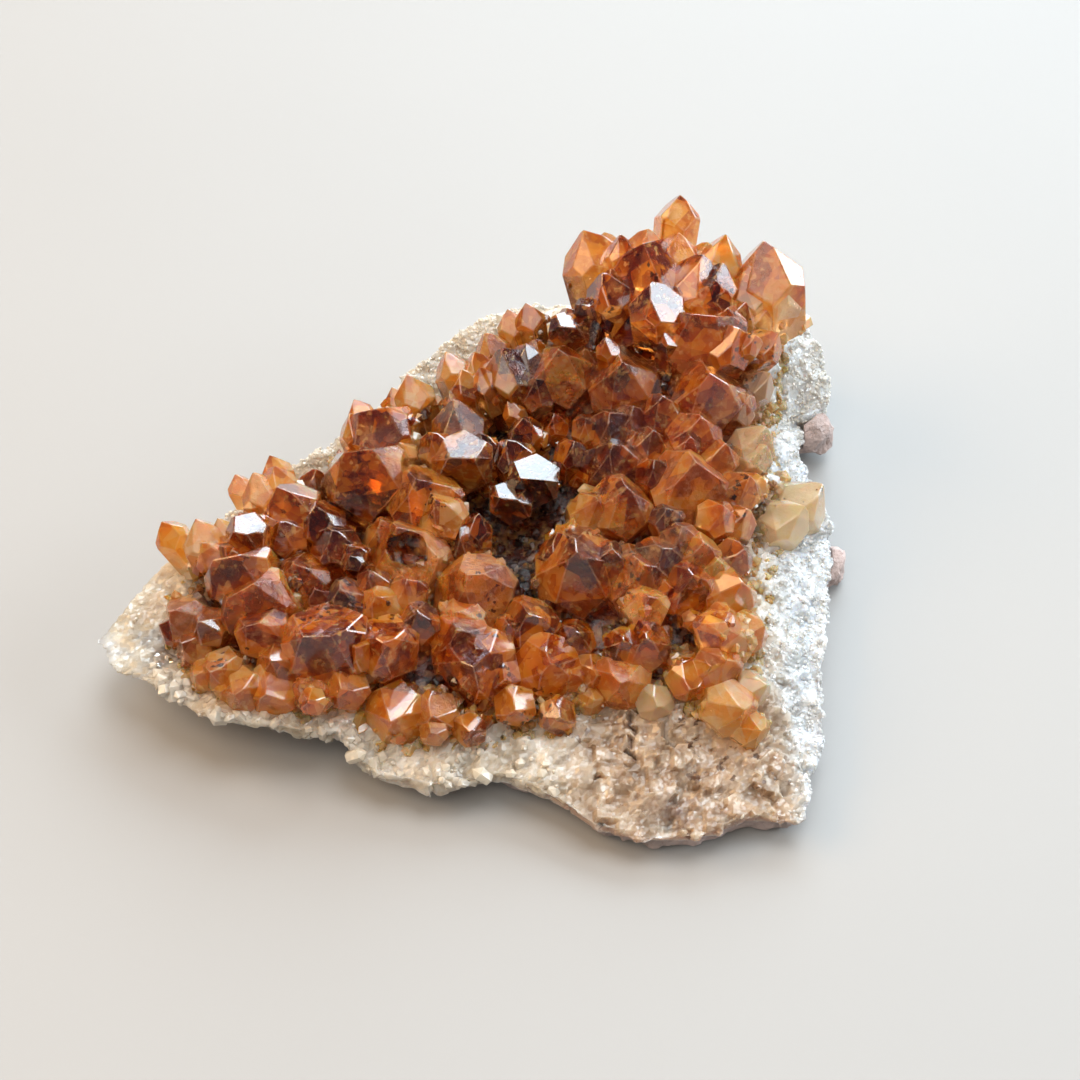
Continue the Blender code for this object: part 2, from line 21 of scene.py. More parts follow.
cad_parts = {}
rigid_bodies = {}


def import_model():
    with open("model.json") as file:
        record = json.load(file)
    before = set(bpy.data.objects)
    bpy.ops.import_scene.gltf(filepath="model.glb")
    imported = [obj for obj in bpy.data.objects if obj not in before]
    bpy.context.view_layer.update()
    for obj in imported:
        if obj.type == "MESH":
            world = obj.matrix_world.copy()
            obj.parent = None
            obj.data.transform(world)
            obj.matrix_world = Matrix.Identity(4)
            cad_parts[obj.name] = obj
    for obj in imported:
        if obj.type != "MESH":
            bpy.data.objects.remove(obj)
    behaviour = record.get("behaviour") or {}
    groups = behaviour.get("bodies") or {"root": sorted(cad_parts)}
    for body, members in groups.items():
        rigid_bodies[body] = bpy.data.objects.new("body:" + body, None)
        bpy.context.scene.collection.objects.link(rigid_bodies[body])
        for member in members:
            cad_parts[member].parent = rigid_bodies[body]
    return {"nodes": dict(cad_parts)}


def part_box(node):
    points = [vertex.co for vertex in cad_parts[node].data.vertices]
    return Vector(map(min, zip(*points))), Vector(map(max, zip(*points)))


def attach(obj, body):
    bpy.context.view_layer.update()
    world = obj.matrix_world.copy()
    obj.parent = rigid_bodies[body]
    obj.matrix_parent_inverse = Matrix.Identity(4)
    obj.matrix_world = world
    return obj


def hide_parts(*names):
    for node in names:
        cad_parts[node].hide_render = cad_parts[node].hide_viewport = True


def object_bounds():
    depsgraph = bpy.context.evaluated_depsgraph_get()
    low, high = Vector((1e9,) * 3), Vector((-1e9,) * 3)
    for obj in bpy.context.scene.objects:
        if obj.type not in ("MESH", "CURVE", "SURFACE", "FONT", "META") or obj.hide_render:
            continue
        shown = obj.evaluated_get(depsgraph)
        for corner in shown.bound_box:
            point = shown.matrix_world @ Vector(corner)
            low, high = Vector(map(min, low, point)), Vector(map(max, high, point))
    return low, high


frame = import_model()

CAD_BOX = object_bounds()
MM = 0.001
CENTRE = Vector((-9.4, 7.0, 0.0))
QUARTZ_IOR = 1.544

# Shape of the crystals and of the crust at their roots.
CRUST_DEPTH = 0.9
CRUST_SINK = 1.1
GRID_STEP = 6.4
RHOMB_SLOPE = math.radians(51.8)
ROOT_TAPER = 0.85
SHOULDER_SWELL = 1.34
FACE_WELD = 0.05
WORN_WELD = 0.002
SMALLEST_FACE = 0.0001

# Rind surface step and reach of the left tip past the CAD matrix, in metres, and the bare ground
# that the scattered grains and little points are counted over, in square metres.
RIND_STEP = 0.0008
TIP_REACH = 0.0016
TIP_MARGIN = 0.0002
MATRIX_GROUND = 0.007
CRYSTAL_GROUND = 0.0042

# Seeds: every random choice is drawn from one of these.
FILL_SEED = 8
TINT_SEED = 5
LARGE_SEED = 51
SMALL_SEED = 31
TWIN_SEED = 19
SPROUT_SEED = 77
FROST_SEED = 12

bl_info = {
    "name": "Citrine cluster",
    "version": (1, 0, 0),
    "blender": (4, 5, 0),
    "location": "View3D > Sidebar > Citrine",
    "description": "Grows a cluster of heat-coloured quartz points on a quartz matrix",
    "category": "Object",
}

# Edge of the white matrix, clockwise from the left tip:
# x, y, height of the matrix top at the edge, distance over which it climbs to the plateau.
MATRIX_EDGE = [
    (-74.4, -16.0, 10.0, 12.0),
    (-70.5, -9.5, 11.0, 10.0),
    (-66.5, -0.5, 12.0, 7.0),
    (-60.0, 7.5, 12.5, 6.0),
    (-53.0, 14.5, 13.0, 6.0),
    (-46.0, 21.5, 14.0, 7.0),
    (-39.0, 27.0, 15.0, 8.0),
    (-30.0, 37.0, 15.5, 8.0),
    (-23.0, 46.5, 16.0, 9.0),
    (-16.0, 54.0, 16.5, 10.0),
    (-9.0, 58.5, 18.0, 10.0),
    (2.0, 60.0, 19.0, 9.0),
    (16.0, 61.0, 19.5, 9.0),
    (30.0, 60.5, 19.5, 9.0),
    (42.0, 60.0, 19.0, 9.0),
    (51.0, 56.0, 18.5, 9.0),
    (54.5, 47.0, 13.0, 12.0),
    (54.0, 42.5, 9.5, 14.0),
    (49.5, 38.0, 9.0, 13.0),
    (47.0, 29.0, 9.0, 12.0),
    (50.5, 20.0, 11.0, 12.0),
    (52.0, 13.0, 9.5, 13.0),
    (50.8, 3.0, 8.0, 14.0),
    (49.5, -8.0, 8.0, 14.0),
    (47.5, -20.0, 7.5, 14.0),
    (47.0, -29.0, 7.0, 16.0),
    (44.5, -37.0, 6.5, 18.0),
    (42.0, -47.0, 6.0, 22.0),
    (33.5, -46.5, 6.5, 24.0),
    (25.0, -49.8, 6.0, 25.0),
    (17.0, -50.3, 6.0, 26.0),
    (8.8, -48.0, 6.5, 24.0),
    (2.5, -43.2, 7.0, 22.0),
    (-6.5, -38.6, 7.5, 22.0),
    (-17.8, -41.3, 7.2, 24.0),
    (-26.0, -39.0, 7.5, 22.0),
    (-31.5, -35.5, 8.5, 16.0),
    (-32.5, -31.8, 9.5, 12.0),
    (-42.0, -32.4, 11.5, 9.0),
    (-49.0, -31.8, 12.0, 8.0),
    (-56.0, -29.5, 12.0, 8.0),
    (-63.0, -24.5, 11.5, 8.0),
    (-69.0, -20.5, 10.5, 10.0),
]

# Ground covered by the crystal crust, clockwise.
CRUST_EDGE = [
    (-65.0, -13.0), (-63.5, -3.0), (-58.0, 5.0), (-51.0, 12.5), (-43.0, 19.5), (-33.0, 29.0),
    (-25.0, 39.0), (-15.0, 47.5), (-4.0, 54.0), (8.0, 58.5), (24.0, 59.5), (38.0, 58.5),
    (46.0, 53.0), (45.5, 43.0), (43.5, 31.0), (44.0, 16.0), (41.5, 5.0), (39.0, -8.0),
    (37.5, -19.0), (35.0, -32.0), (26.0, -29.0), (17.5, -27.5), (8.5, -29.0), (3.0, -32.5),
    (-7.0, -33.0), (-17.0, -35.0), (-25.0, -34.5), (-30.0, -30.5), (-42.0, -29.5),
    (-52.0, -28.0), (-60.0, -22.0),
]

# Crystal points: tip x, tip y, tip z, width part-way down the point, lean from upright,
# direction of the lean (degrees anticlockwise from +X), length of the point down to its root.
# Points that end in a plain ridge or in a few broad faces also give the turn of the prism about
# its own axis and the directions their broad faces look in.
LEFT_POINTS = [
    (-64.3, 2.5, 22.0, 5.0, 25, 165, 13),
    (-58.0, 1.0, 24.5, 7.0, 18, 140, 14),
    (-56.5, -3.0, 23.0, 6.0, 20, 190, 13),
    (-52.5, -4.5, 23.5, 6.0, 15, 230, 13),
    (-61.3, -15.3, 20.0, 7.0, 36, 215, 14),
    (-51.0, -8.6, 26.0, 10.5, 22, 210, 18, 0, (90, 270)),
    (-48.0, -14.4, 25.0, 10.5, 28, 225, 19, 20, (110, 290)),
    (-47.0, -20.1, 22.5, 8.0, 28, 250, 16, 10, (100, 280)),
    (-55.8, -17.9, 20.5, 6.0, 28, 235, 14),
    (-58.9, -20.0, 17.5, 6.0, 36, 235, 11),
    (-63.3, -15.5, 16.5, 5.0, 40, 205, 9),
    (-49.3, 11.0, 25.0, 6.5, 22, 140, 15),
    (-47.0, 16.0, 24.0, 5.0, 25, 130, 13),
    (-45.5, 12.0, 25.5, 5.5, 12, 120, 14),
    (-44.5, 6.0, 27.0, 10.0, 18, 170, 18),
    (-38.0, 3.0, 25.5, 7.5, 8, 200, 15),
    (-44.0, 0.5, 24.0, 6.5, 14, 210, 14),
    (-34.8, -2.0, 25.0, 7.0, 10, 250, 15),
    (-51.0, 2.5, 24.0, 5.0, 16, 160, 13),
    (-41.0, -8.0, 23.5, 8.5, 14, 240, 14),
    (-53.5, -26.0, 17.5, 6.5, 40, 240, 12),
    (-49.3, -29.8, 16.5, 6.5, 46, 255, 11),
    (-44.2, -30.0, 17.0, 8.5, 44, 262, 12),
]
FRONT_POINTS = [
    (-43.4, -25.6, 20.0, 7.0, 32, 250, 14),
    (-36.5, -24.0, 24.5, 12.5, 26, 262, 20, 0, (90, 270)),
    (-25.2, -24.0, 23.0, 9.5, 28, 268, 18),
    (-32.0, -29.5, 18.0, 6.5, 38, 262, 12),
    (-24.0, -34.2, 15.5, 9.5, 46, 262, 14),
    (-20.0, -17.5, 22.5, 6.0, 16, 280, 15),
    (-13.5, -20.7, 22.0, 9.0, 24, 258, 16),
    (-10.7, -27.0, 20.5, 12.5, 38, 270, 19, 10, (100, 220, 340)),
    (-2.0, -16.9, 21.5, 8.5, 18, 262, 15),
    (1.7, -25.6, 19.5, 9.5, 34, 278, 16),
    (-4.0, -32.0, 15.5, 6.0, 44, 268, 11),
    (-17.5, -33.3, 15.5, 6.5, 42, 258, 11),
    (3.0, -32.5, 14.0, 5.5, 42, 285, 9),
    (-38.0, -30.5, 16.5, 5.5, 44, 258, 10),
    (9.4, -25.1, 15.5, 6.5, 36, 285, 11),
    (6.2, -18.4, 18.5, 6.5, 18, 280, 12),
]
MIDDLE_POINTS = [
    (-28.0, -8.8, 22.5, 5.0, 8, 240, 12),
    (-22.0, -10.5, 22.5, 5.5, 6, 300, 12),
    (-27.0, -14.0, 22.5, 7.5, 16, 260, 14),
    (-33.0, -12.5, 22.5, 7.0, 14, 235, 14),
    (-12.0, -11.2, 24.5, 12.5, 20, 240, 18),
    (-24.0, -2.5, 26.0, 12.0, 10, 200, 18),
    (-13.5, 1.0, 22.5, 7.0, 8, 250, 13),
    (-10.4, 3.4, 23.0, 4.5, 10, 60, 12),
    (-6.0, 5.5, 24.5, 6.5, 38, 262, 14, 52, (82, 262)),
    (-1.3, 8.0, 26.5, 7.8, 38, 264, 16, 54, (84, 264)),
    (-13.4, 12.0, 27.5, 9.5, 38, 268, 17, 58, (88, 268)),
    (-21.0, 6.0, 29.0, 11.5, 14, 250, 19, 30, (300, 180, 60)),
    (-31.0, 10.9, 30.0, 12.5, 14, 215, 21, 0, (90, 270)),
    (6.0, -8.4, 27.0, 13.0, 20, 262, 19),
    (12.0, -6.0, 25.0, 7.0, 10, 300, 14),
    (3.0, -1.5, 24.0, 6.5, 12, 110, 13),
    (-5.7, 16.8, 27.0, 6.5, 12, 170, 15),
    (-10.2, 18.0, 27.0, 4.5, 8, 120, 13),
    (6.0, 18.3, 25.0, 5.5, 8, 300, 13),
    (2.5, 26.0, 24.0, 5.0, 6, 240, 12),
]
BACK_LEFT_POINTS = [
    (-33.0, 28.0, 25.5, 4.0, 26, 135, 13),
    (-33.5, 24.0, 26.0, 5.5, 20, 140, 14),
    (-28.3, 22.3, 29.0, 9.5, 16, 190, 18, 0, (90, 270)),
    (-23.8, 32.5, 27.0, 6.5, 20, 130, 15),
    (-15.0, 24.5, 29.0, 8.5, 12, 120, 17),
    (-18.5, 17.5, 28.0, 6.0, 10, 200, 15),
    (-6.8, 34.5, 31.5, 9.5, 18, 140, 18),
    (-2.5, 36.5, 31.0, 6.5, 10, 100, 15),
    (-0.8, 29.5, 29.0, 6.0, 10, 250, 15),
    (3.2, 33.0, 33.0, 11.0, 14, 250, 19),
    (-3.0, 22.0, 27.0, 5.5, 10, 200, 14),
    (-16.8, 38.5, 27.0, 5.5, 24, 135, 14),
    (-11.8, 37.5, 28.0, 5.0, 18, 130, 14),
    (-13.8, 33.0, 28.0, 5.5, 14, 135, 14),
    (-5.9, 46.5, 30.0, 5.0, 24, 130, 14),
    (-2.6, 46.5, 31.5, 5.0, 18, 120, 14),
    (-10.0, 42.5, 28.0, 5.5, 22, 140, 13),
]
SUMMIT_POINTS = [
    (18.2, 47.8, 44.5, 20.0, 11, 180, 27, 22, (352, 232, 112)),
    (11.0, 44.5, 40.5, 7.5, 16, 170, 20),
    (4.8, 42.0, 34.5, 8.5, 16, 160, 17),
    (28.6, 35.8, 38.5, 14.5, 14, 275, 24, 355, (85, 265)),
    (35.0, 34.5, 36.5, 8.0, 20, 330, 18),
    (29.5, 26.5, 33.5, 12.0, 18, 275, 18),
    (14.6, 28.5, 34.0, 11.5, 16, 258, 18),
    (28.9, 46.5, 43.0, 9.5, 14, 30, 20),
    (31.0, 42.0, 41.0, 6.5, 16, 340, 16),
    (36.6, 42.5, 35.5, 6.0, 20, 20, 15),
    (7.8, 55.5, 41.0, 9.0, 22, 125, 21),
    (14.3, 53.0, 42.0, 5.5, 14, 110, 16),
    (19.3, 53.5, 43.0, 6.5, 10, 90, 18),
    (25.4, 61.0, 44.5, 6.5, 16, 75, 22),
    (24.8, 53.0, 42.5, 10.5, 10, 70, 20),
    (33.4, 53.0, 42.0, 7.0, 16, 60, 20),
    (40.0, 51.4, 42.0, 11.5, 12, 140, 21),
    (44.5, 48.5, 38.0, 8.0, 14, 20, 17),
    (42.5, 38.0, 32.0, 6.0, 30, 350, 14),
    (41.0, 32.5, 27.5, 5.5, 28, 350, 12),
    (41.5, 44.0, 33.0, 6.5, 32, 10, 14),
]
RIGHT_POINTS = [
    (12.1, 21.4, 29.0, 7.5, 10, 250, 15),
    (16.3, 23.4, 28.5, 6.0, 8, 300, 15),
    (19.5, 18.8, 27.0, 6.5, 10, 320, 14),
    (12.3, 15.0, 28.0, 11.0, 12, 262, 17),
    (19.6, 12.5, 26.5, 5.5, 8, 250, 14),
    (26.5, 9.8, 29.0, 13.0, 14, 290, 18),
    (14.6, 5.0, 28.0, 10.0, 14, 300, 17),
    (20.4, -6.8, 26.0, 8.0, 18, 290, 14),
    (27.3, -4.7, 25.0, 7.0, 16, 300, 14),
    (23.6, -2.0, 26.0, 6.0, 10, 280, 13),
    (21.3, 2.0, 26.0, 5.0, 8, 260, 13),
    (36.0, 10.0, 25.0, 7.0, 22, 350, 13),
    (39.5, 22.0, 25.0, 7.5, 24, 0, 14),
    (37.0, 27.5, 27.0, 6.0, 22, 340, 13),
    (27.7, 19.7, 30.0, 8.5, 12, 300, 16),
    (21.4, 24.5, 30.0, 7.5, 8, 280, 15),
    (32.0, 16.0, 27.0, 6.5, 14, 330, 13),
    (35.3, 4.5, 23.0, 6.5, 24, 340, 12),
    (34.4, -3.5, 22.0, 6.0, 26, 330, 11),
    (33.6, -10.8, 22.0, 8.5, 28, 320, 13),
    (31.0, 3.0, 25.5, 6.0, 16, 310, 13),
    (50.0, 15.5, 17.0, 9.0, 38, 15, 12),
    (46.0, 9.5, 18.0, 8.0, 32, 350, 12),
    (17.2, -9.5, 25.0, 11.5, 20, 280, 17),
    (25.3, -10.9, 24.0, 9.5, 24, 295, 16),
    (17.3, -22.0, 21.5, 7.5, 22, 270, 14),
    (24.3, -28.7, 16.5, 6.0, 58, 272, 14),
    (24.8, -19.0, 22.0, 6.5, 50, 185, 13),
    (30.0, -25.5, 20.0, 7.0, 30, 300, 13),
    (32.5, -32.3, 16.5, 8.0, 42, 300, 12),
    (13.0, -28.0, 17.5, 8.5, 38, 262, 13),
    (37.0, -17.5, 19.0, 6.5, 34, 330, 11),
    (37.0, -27.0, 15.5, 5.5, 40, 330, 9),
    (19.0, -30.5, 14.5, 5.5, 44, 275, 9),
]

# Low terraces grown on the flanks of larger points, turned so that one broad face lies open.
TERRACE_POINTS = [
    (19.4, 39.9, 42.3, 8.6, 8.4, 146, 14, 56, (326,)),
    (21.7, 35.2, 36.0, 3.4, 8.4, 146, 10, 56, (326,)),
    (11.4, 33.3, 35.6, 3.8, 9.0, 146, 9, 56, (326,)),
    (5.0, 36.4, 35.0, 6.5, 38, 262, 12, 52, (82, 262)),
    (7.9, 40.6, 36.2, 3.6, 36, 250, 9, 40, (70, 250)),
    (-50.0, -4.8, 27.5, 6.0, 38, 255, 11, 45, (75, 255)),
]

# Small black lumps among the points.
LUMP_POINTS = [
    (-31.8, -5.6, 22.6, 3.0, 20, 215, 6),
    (-40.6, -9.8, 22.4, 2.2, 12, 300, 5),
]

# Places darkened with painted shade, as hollows: x, y, z, radius. A ragged crater is also cut out
# round the first.
HOLLOWS = (
    (-22.4, -4.2, 22.6, 2.9),
    (-3.2, -7.5, 12.5, 6.0),
    (-3.0, 4.0, 12.5, 6.0),
)

POINTS = (
    LEFT_POINTS + FRONT_POINTS + MIDDLE_POINTS + BACK_LEFT_POINTS + SUMMIT_POINTS + RIGHT_POINTS
)

# Small points that fill the hollows between the large ones.
FILL_CORNER = (-72.0, -46.0)
FILL_SPAN = (130.0, 112.0)
FILL_SPACING = 8.0
FILL_WIDTH = (4.2, 6.2)
FILL_RISE = (5.5, 8.5)
FILL_CLEARANCE = 0.62

# Points with a colour of their own: x, y, dark purple-brown, pale yellow, frost. A row holds for
# the point whose tip is nearer to it than TINT_REACH.
TINT_REACH = 0.6
TINTS = (
    (-64.3, 2.5, 0.0, 0.9, 0.2),
    (-58.0, 1.0, 0.0, 0.8, 0.2),
    (-56.5, -3.0, 0.0, 0.9, 0.2),
    (-47.0, 16.0, 0.1, 0.55, 0.5),
    (-45.5, 12.0, 0.1, 0.5, 0.4),
    (-33.0, 28.0, 0.0, 0.8, 0.3),
    (-33.5, 24.0, 0.0, 0.7, 0.3),
    (-5.9, 46.5, 0.0, 0.7, 0.3),
    (-2.6, 46.5, 0.0, 0.6, 0.3),
    (-16.8, 38.5, 0.0, 0.6, 0.3),
    (-11.8, 37.5, 0.0, 0.5, 0.3),
    (33.4, 53.0, 0.0, 0.7, 0.1),
    (25.4, 61.0, 0.1, 0.3, 0.3),
    (50.0, 15.5, 0.0, 1.0, 0.2),
    (46.0, 9.5, 0.0, 1.0, 0.3),
    (35.3, 4.5, 0.0, 0.6, 0.2),
    (42.5, 38.0, 0.0, 0.6, 0.2),
    (41.5, 44.0, 0.0, 0.7, 0.2),
    (32.5, -32.3, 0.0, 0.9, 0.7),
    (13.0, -28.0, 0.1, 0.7, 0.8),
    (-53.5, -26.0, 0.0, 0.7, 0.4),
    (-49.3, -29.8, 0.0, 0.6, 0.4),
    (-44.2, -30.0, 0.0, 0.7, 0.4),
    (24.3, -28.7, 0.0, 0.4, 0.1),
    (24.8, -19.0, 0.2, 0.2, 0.1),
    (-1.3, 8.0, 1.0, 0.0, 0.0),
    (-6.0, 5.5, 1.0, 0.0, 0.0),
    (-13.5, 1.0, 1.0, 0.0, 0.1),
    (-10.4, 3.4, 1.0, 0.0, 0.1),
    (6.0, -8.4, 0.8, 0.0, 0.3),
    (11.0, 44.5, 0.9, 0.0, 0.1),
    (28.9, 46.5, 0.9, 0.0, 0.2),
    (31.0, 42.0, 0.9, 0.0, 0.2),
    (-15.0, 24.5, 0.6, 0.0, 0.5),
    (-6.8, 34.5, 0.7, 0.0, 0.2),
    (29.5, 26.5, 0.5, 0.0, 0.3),
    (14.6, 28.5, 0.6, 0.0, 0.5),
    (12.1, 21.4, 0.9, 0.0, 0.4),
    (2.5, 26.0, 1.0, 0.0, 0.1),
    (-36.5, -24.0, 0.5, 0.0, 0.2),
    (-31.0, 10.9, 0.5, 0.0, 0.3),
    (-21.0, 6.0, 0.5, 0.0, 0.3),
    (-51.0, -8.6, 0.5, 0.1, 0.1),
    (17.3, -22.0, 0.9, 0.0, 0.2),
    (6.2, -18.4, 0.9, 0.0, 0.2),
    (-12.0, -11.2, 0.2, 0.3, 1.0),
    (-24.0, -2.5, 0.2, 0.3, 0.9),
    (-48.0, -14.4, 0.15, 0.2, 0.75),
    (3.2, 33.0, 0.1, 0.2, 0.9),
    (14.6, 5.0, 0.3, 0.1, 0.8),
    (26.5, 9.8, 0.1, 0.3, 0.9),
    (17.2, -9.5, 0.2, 0.3, 0.9),
    (-27.0, -14.0, 0.2, 0.4, 0.3),
    (-10.7, -27.0, 0.7, 0.0, 0.1),
    (1.7, -25.6, 0.45, 0.0, 0.2),
    (28.6, 35.8, 0.1, 0.1, 0.3),
    (40.0, 51.4, 0.1, 0.3, 0.2),
    (18.2, 47.8, 0.35, 0.0, 0.0),
)


class ClusterPoints(bpy.types.PropertyGroup):
    """Sizes and colours of the crystal points."""

    edge_round: FloatProperty(
        name="Edge rounding",
        description="Width of the small flat worn along each crystal edge",
        default=0.00016,
        min=0.0,
        unit="LENGTH",
    )
    tip_colour: FloatVectorProperty(
        name="Tip colour",
        description="Dark red-brown of the tips",
        default=(0.20, 0.022, 0.006),
        size=3,
        subtype="COLOR",
    )
    body_colour: FloatVectorProperty(
        name="Body colour",
        description="Burnt orange of the bodies",
        default=(0.93, 0.29, 0.012),
        size=3,
        subtype="COLOR",
    )
    root_colour: FloatVectorProperty(
        name="Root colour",
        description="Milky cream of the roots",
        default=(1.0, 0.63, 0.27),
        size=3,
        subtype="COLOR",
    )
    absorb_colour: FloatVectorProperty(
        name="Depth colour",
        description="Colour that light takes inside the quartz",
        default=(0.98, 0.56, 0.12),
        size=3,
        subtype="COLOR",
    )
    absorb_density: FloatProperty(
        name="Depth strength",
        description="How quickly light takes that colour, per metre",
        default=32.0,
        min=0.0,
    )
    druse_count: IntProperty(
        name="Little points",
        description="Number of little points scattered round the rim",
        default=2400,
        min=0,
    )
    druse_size: FloatProperty(
        name="Little point size",
        description="Width of a middling little point",
        default=0.0019,
        min=0.0001,
        unit="LENGTH",
    )


class ClusterMatrix(bpy.types.PropertyGroup):
    """Sizes and colours of the white quartz and the rock."""

    voxel: FloatProperty(
        name="Surface step",
        description="Size of the finest relief on the matrix",
        default=0.0007,
        min=0.0003,
        unit="LENGTH",
    )
    relief: FloatProperty(
        name="Relief",
        description="Height of the broken facets on the matrix",
        default=0.0009,
        min=0.0,
        unit="LENGTH",
    )
    grain_count: IntProperty(
        name="Grains",
        description="Number of small sparkling quartz grains",
        default=9000,
        min=0,
    )
    grain_size: FloatProperty(
        name="Grain size",
        description="Width of a middling quartz grain",
        default=0.0007,
        min=0.0001,
        unit="LENGTH",
    )
    chunk_count: IntProperty(
        name="Coarse grains",
        description="Number of coarse quartz grains along the front rim",
        default=3600,
        min=0,
    )
    chunk_size: FloatProperty(
        name="Coarse grain size",
        description="Width of a middling coarse grain",
        default=0.0019,
        min=0.0001,
        unit="LENGTH",
    )
    quartz_colour: FloatVectorProperty(
        name="Quartz colour",
        description="White of the matrix",
        default=(0.73, 0.66, 0.57),
        size=3,
        subtype="COLOR",
    )
    stain_colour: FloatVectorProperty(
        name="Stain colour",
        description="Beige of the broken face at the front right",
        default=(0.32, 0.21, 0.13),
        size=3,
        subtype="COLOR",
    )
    rock_colour: FloatVectorProperty(
        name="Rock colour",
        description="Grey-brown of the rind",
        default=(0.36, 0.28, 0.25),
        size=3,
        subtype="COLOR",
    )


class ClusterStage(bpy.types.PropertyGroup):
    """Floor, lights and camera."""

    floor_colour: FloatVectorProperty(
        name="Floor colour",
        description="Pale floor",
        default=(0.275, 0.27, 0.262),
        size=3,
        subtype="COLOR",
    )
    window_power: FloatProperty(
        name="Window power",
        description="Power of the large soft light behind and to the right",
        default=78.0,
        min=0.0,
        subtype="POWER",
        unit="POWER",
    )
    camera_rise: FloatProperty(
        name="Camera elevation",
        description="Angle of the camera above the floor",
        default=math.radians(50.0),
        subtype="ANGLE",
        unit="ROTATION",
    )
    camera_distance: FloatProperty(
        name="Camera distance",
        description="Distance from the camera to the point it looks at",
        default=0.32,
        unit="LENGTH",
        subtype="DISTANCE",
    )


def smooth(t):
    """Ease from 0 to 1 with flat ends."""
    t = min(max(t, 0.0), 1.0)
    return t * t * (3.0 - 2.0 * t)


def edge_distance(x, y, edge):
    """Distance from a point to the closed outline, negative outside it."""
    best = 1e9
    inside = False
    count = len(edge)
    for i in range(count):
        ax, ay = edge[i][0], edge[i][1]
        bx, by = edge[(i + 1) % count][0], edge[(i + 1) % count][1]
        dx, dy = bx - ax, by - ay
        t = ((x - ax) * dx + (y - ay) * dy) / (dx * dx + dy * dy)
        t = min(max(t, 0.0), 1.0)
        best = min(best, math.hypot(x - ax - t * dx, y - ay - t * dy))
        if (ay > y) != (by > y) and x < ax + (y - ay) * dx / dy:
            inside = not inside
    return best if inside else -best


def plateau(x, y):
    """Height of the matrix away from its edges: low at the left, highest under the summit."""
    back = smooth((y - 6.0) / 34.0) * smooth((x + 14.0) / 28.0)
    left = smooth((-x - 30.0) / 40.0)
    front = smooth((-y - 4.0) / 20.0)
    return 12.5 + 10.0 * back - 0.8 * left - 1.5 * front


def matrix_top(x, y):
    """Height of the rough matrix surface."""
    total = height = climb = 0.0
    for ex, ey, edge_height, edge_climb in MATRIX_EDGE:
        weight = 1.0 / (1.0 + (x - ex) ** 2 + (y - ey) ** 2) ** 1.5
        total += weight
        height += weight * edge_height
        climb += weight * edge_climb
    height /= total
    climb /= total
    t = smooth(edge_distance(x, y, MATRIX_EDGE) / climb)
    rough = 0.9 * noise.noise(Vector((x * 0.16, y * 0.16, 3.7)))
    return height + (plateau(x, y) - height) * t + rough


def crust_top(x, y):
    """Height of the clear crust: over the matrix inside, sunk into it at its edge."""
    inland = smooth((edge_distance(x, y, CRUST_EDGE) - 1.0) / 8.0)
    return matrix_top(x, y) - CRUST_SINK + (CRUST_DEPTH + CRUST_SINK) * inland


def to_frame(bm):
    """Move a millimetre mesh about the working point into the frame."""
    bmesh.ops.scale(bm, vec=(MM, MM, MM), verts=bm.verts[:])
    bmesh.ops.translate(bm, vec=-CENTRE * MM, verts=bm.verts[:])


def new_piece(name, mesh):
    """Object at the origin, linked to the scene."""
    obj = bpy.data.objects.new(name, mesh)
    bpy.context.scene.collection.objects.link(obj)
    return obj


def object_from(name, bm, collection=None):
    """Object made from a millimetre bmesh."""
    bmesh.ops.recalc_face_normals(bm, faces=bm.faces[:])
    to_frame(bm)
    mesh = bpy.data.meshes.new(name)
    bm.to_mesh(mesh)
    bm.free()
    obj = bpy.data.objects.new(name, mesh)
    (collection or bpy.context.scene.collection).objects.link(obj)
    return obj


def baked(obj, name=None):
    """Replace an object's live modifiers by the mesh they make."""
    graph = bpy.context.evaluated_depsgraph_get()
    mesh = bpy.data.meshes.new_from_object(obj.evaluated_get(graph), depsgraph=graph)
    obj.modifiers.clear()
    old = obj.data
    obj.data = mesh
    bpy.data.meshes.remove(old)
    mesh.name = name or obj.name
    return mesh


def drop(obj):
    """Remove a helper object and its mesh."""
    mesh = obj.data
    bpy.data.objects.remove(obj, do_unlink=True)
    if mesh.users == 0:
        bpy.data.meshes.remove(mesh)


def prism_mesh(edge, low, high, grow=0.0):
    """Upright block over an outline, optionally grown sideways."""
    bm = bmesh.new()
    count = len(edge)
    corners = []
    for i in range(count):
        here = Vector(edge[i][:2])
        along = Vector(edge[(i + 1) % count][:2]) - Vector(edge[i - 1][:2])
        here = here + Vector((-along.y, along.x)).normalized() * grow
        corners.append(bm.verts.new((here.x, here.y, low)))
    floor = bm.faces.new(corners)
    raised = bmesh.ops.extrude_face_region(bm, geom=[floor], use_keep_orig=True)
    lifted = [v for v in raised["geom"] if isinstance(v, bmesh.types.BMVert)]
    bmesh.ops.translate(bm, vec=(0.0, 0.0, high - low), verts=lifted)
    return bm


def sheet_mesh(top, bottom):
    """Slab between two height functions, wider than the whole cluster."""
    bm = bmesh.new()
    width, depth = 144.0, 126.0
    middle = Matrix.Translation((CENTRE.x, CENTRE.y, 0.0))
    bmesh.ops.create_grid(
        bm,
        x_segments=round(width / GRID_STEP),
        y_segments=round(depth / GRID_STEP),
        size=0.5,
        matrix=middle @ Matrix.Diagonal((width, depth, 1.0, 1.0)),
    )
    raised = bmesh.ops.extrude_face_region(bm, geom=bm.faces[:], use_keep_orig=True)
    lifted = {v for v in raised["geom"] if isinstance(v, bmesh.types.BMVert)}
    for vert in bm.verts:
        height = top if vert in lifted else bottom
        vert.co.z = height(vert.co.x, vert.co.y)
    bmesh.ops.triangulate(bm, faces=bm.faces[:], quad_method="FIXED")
    return bm


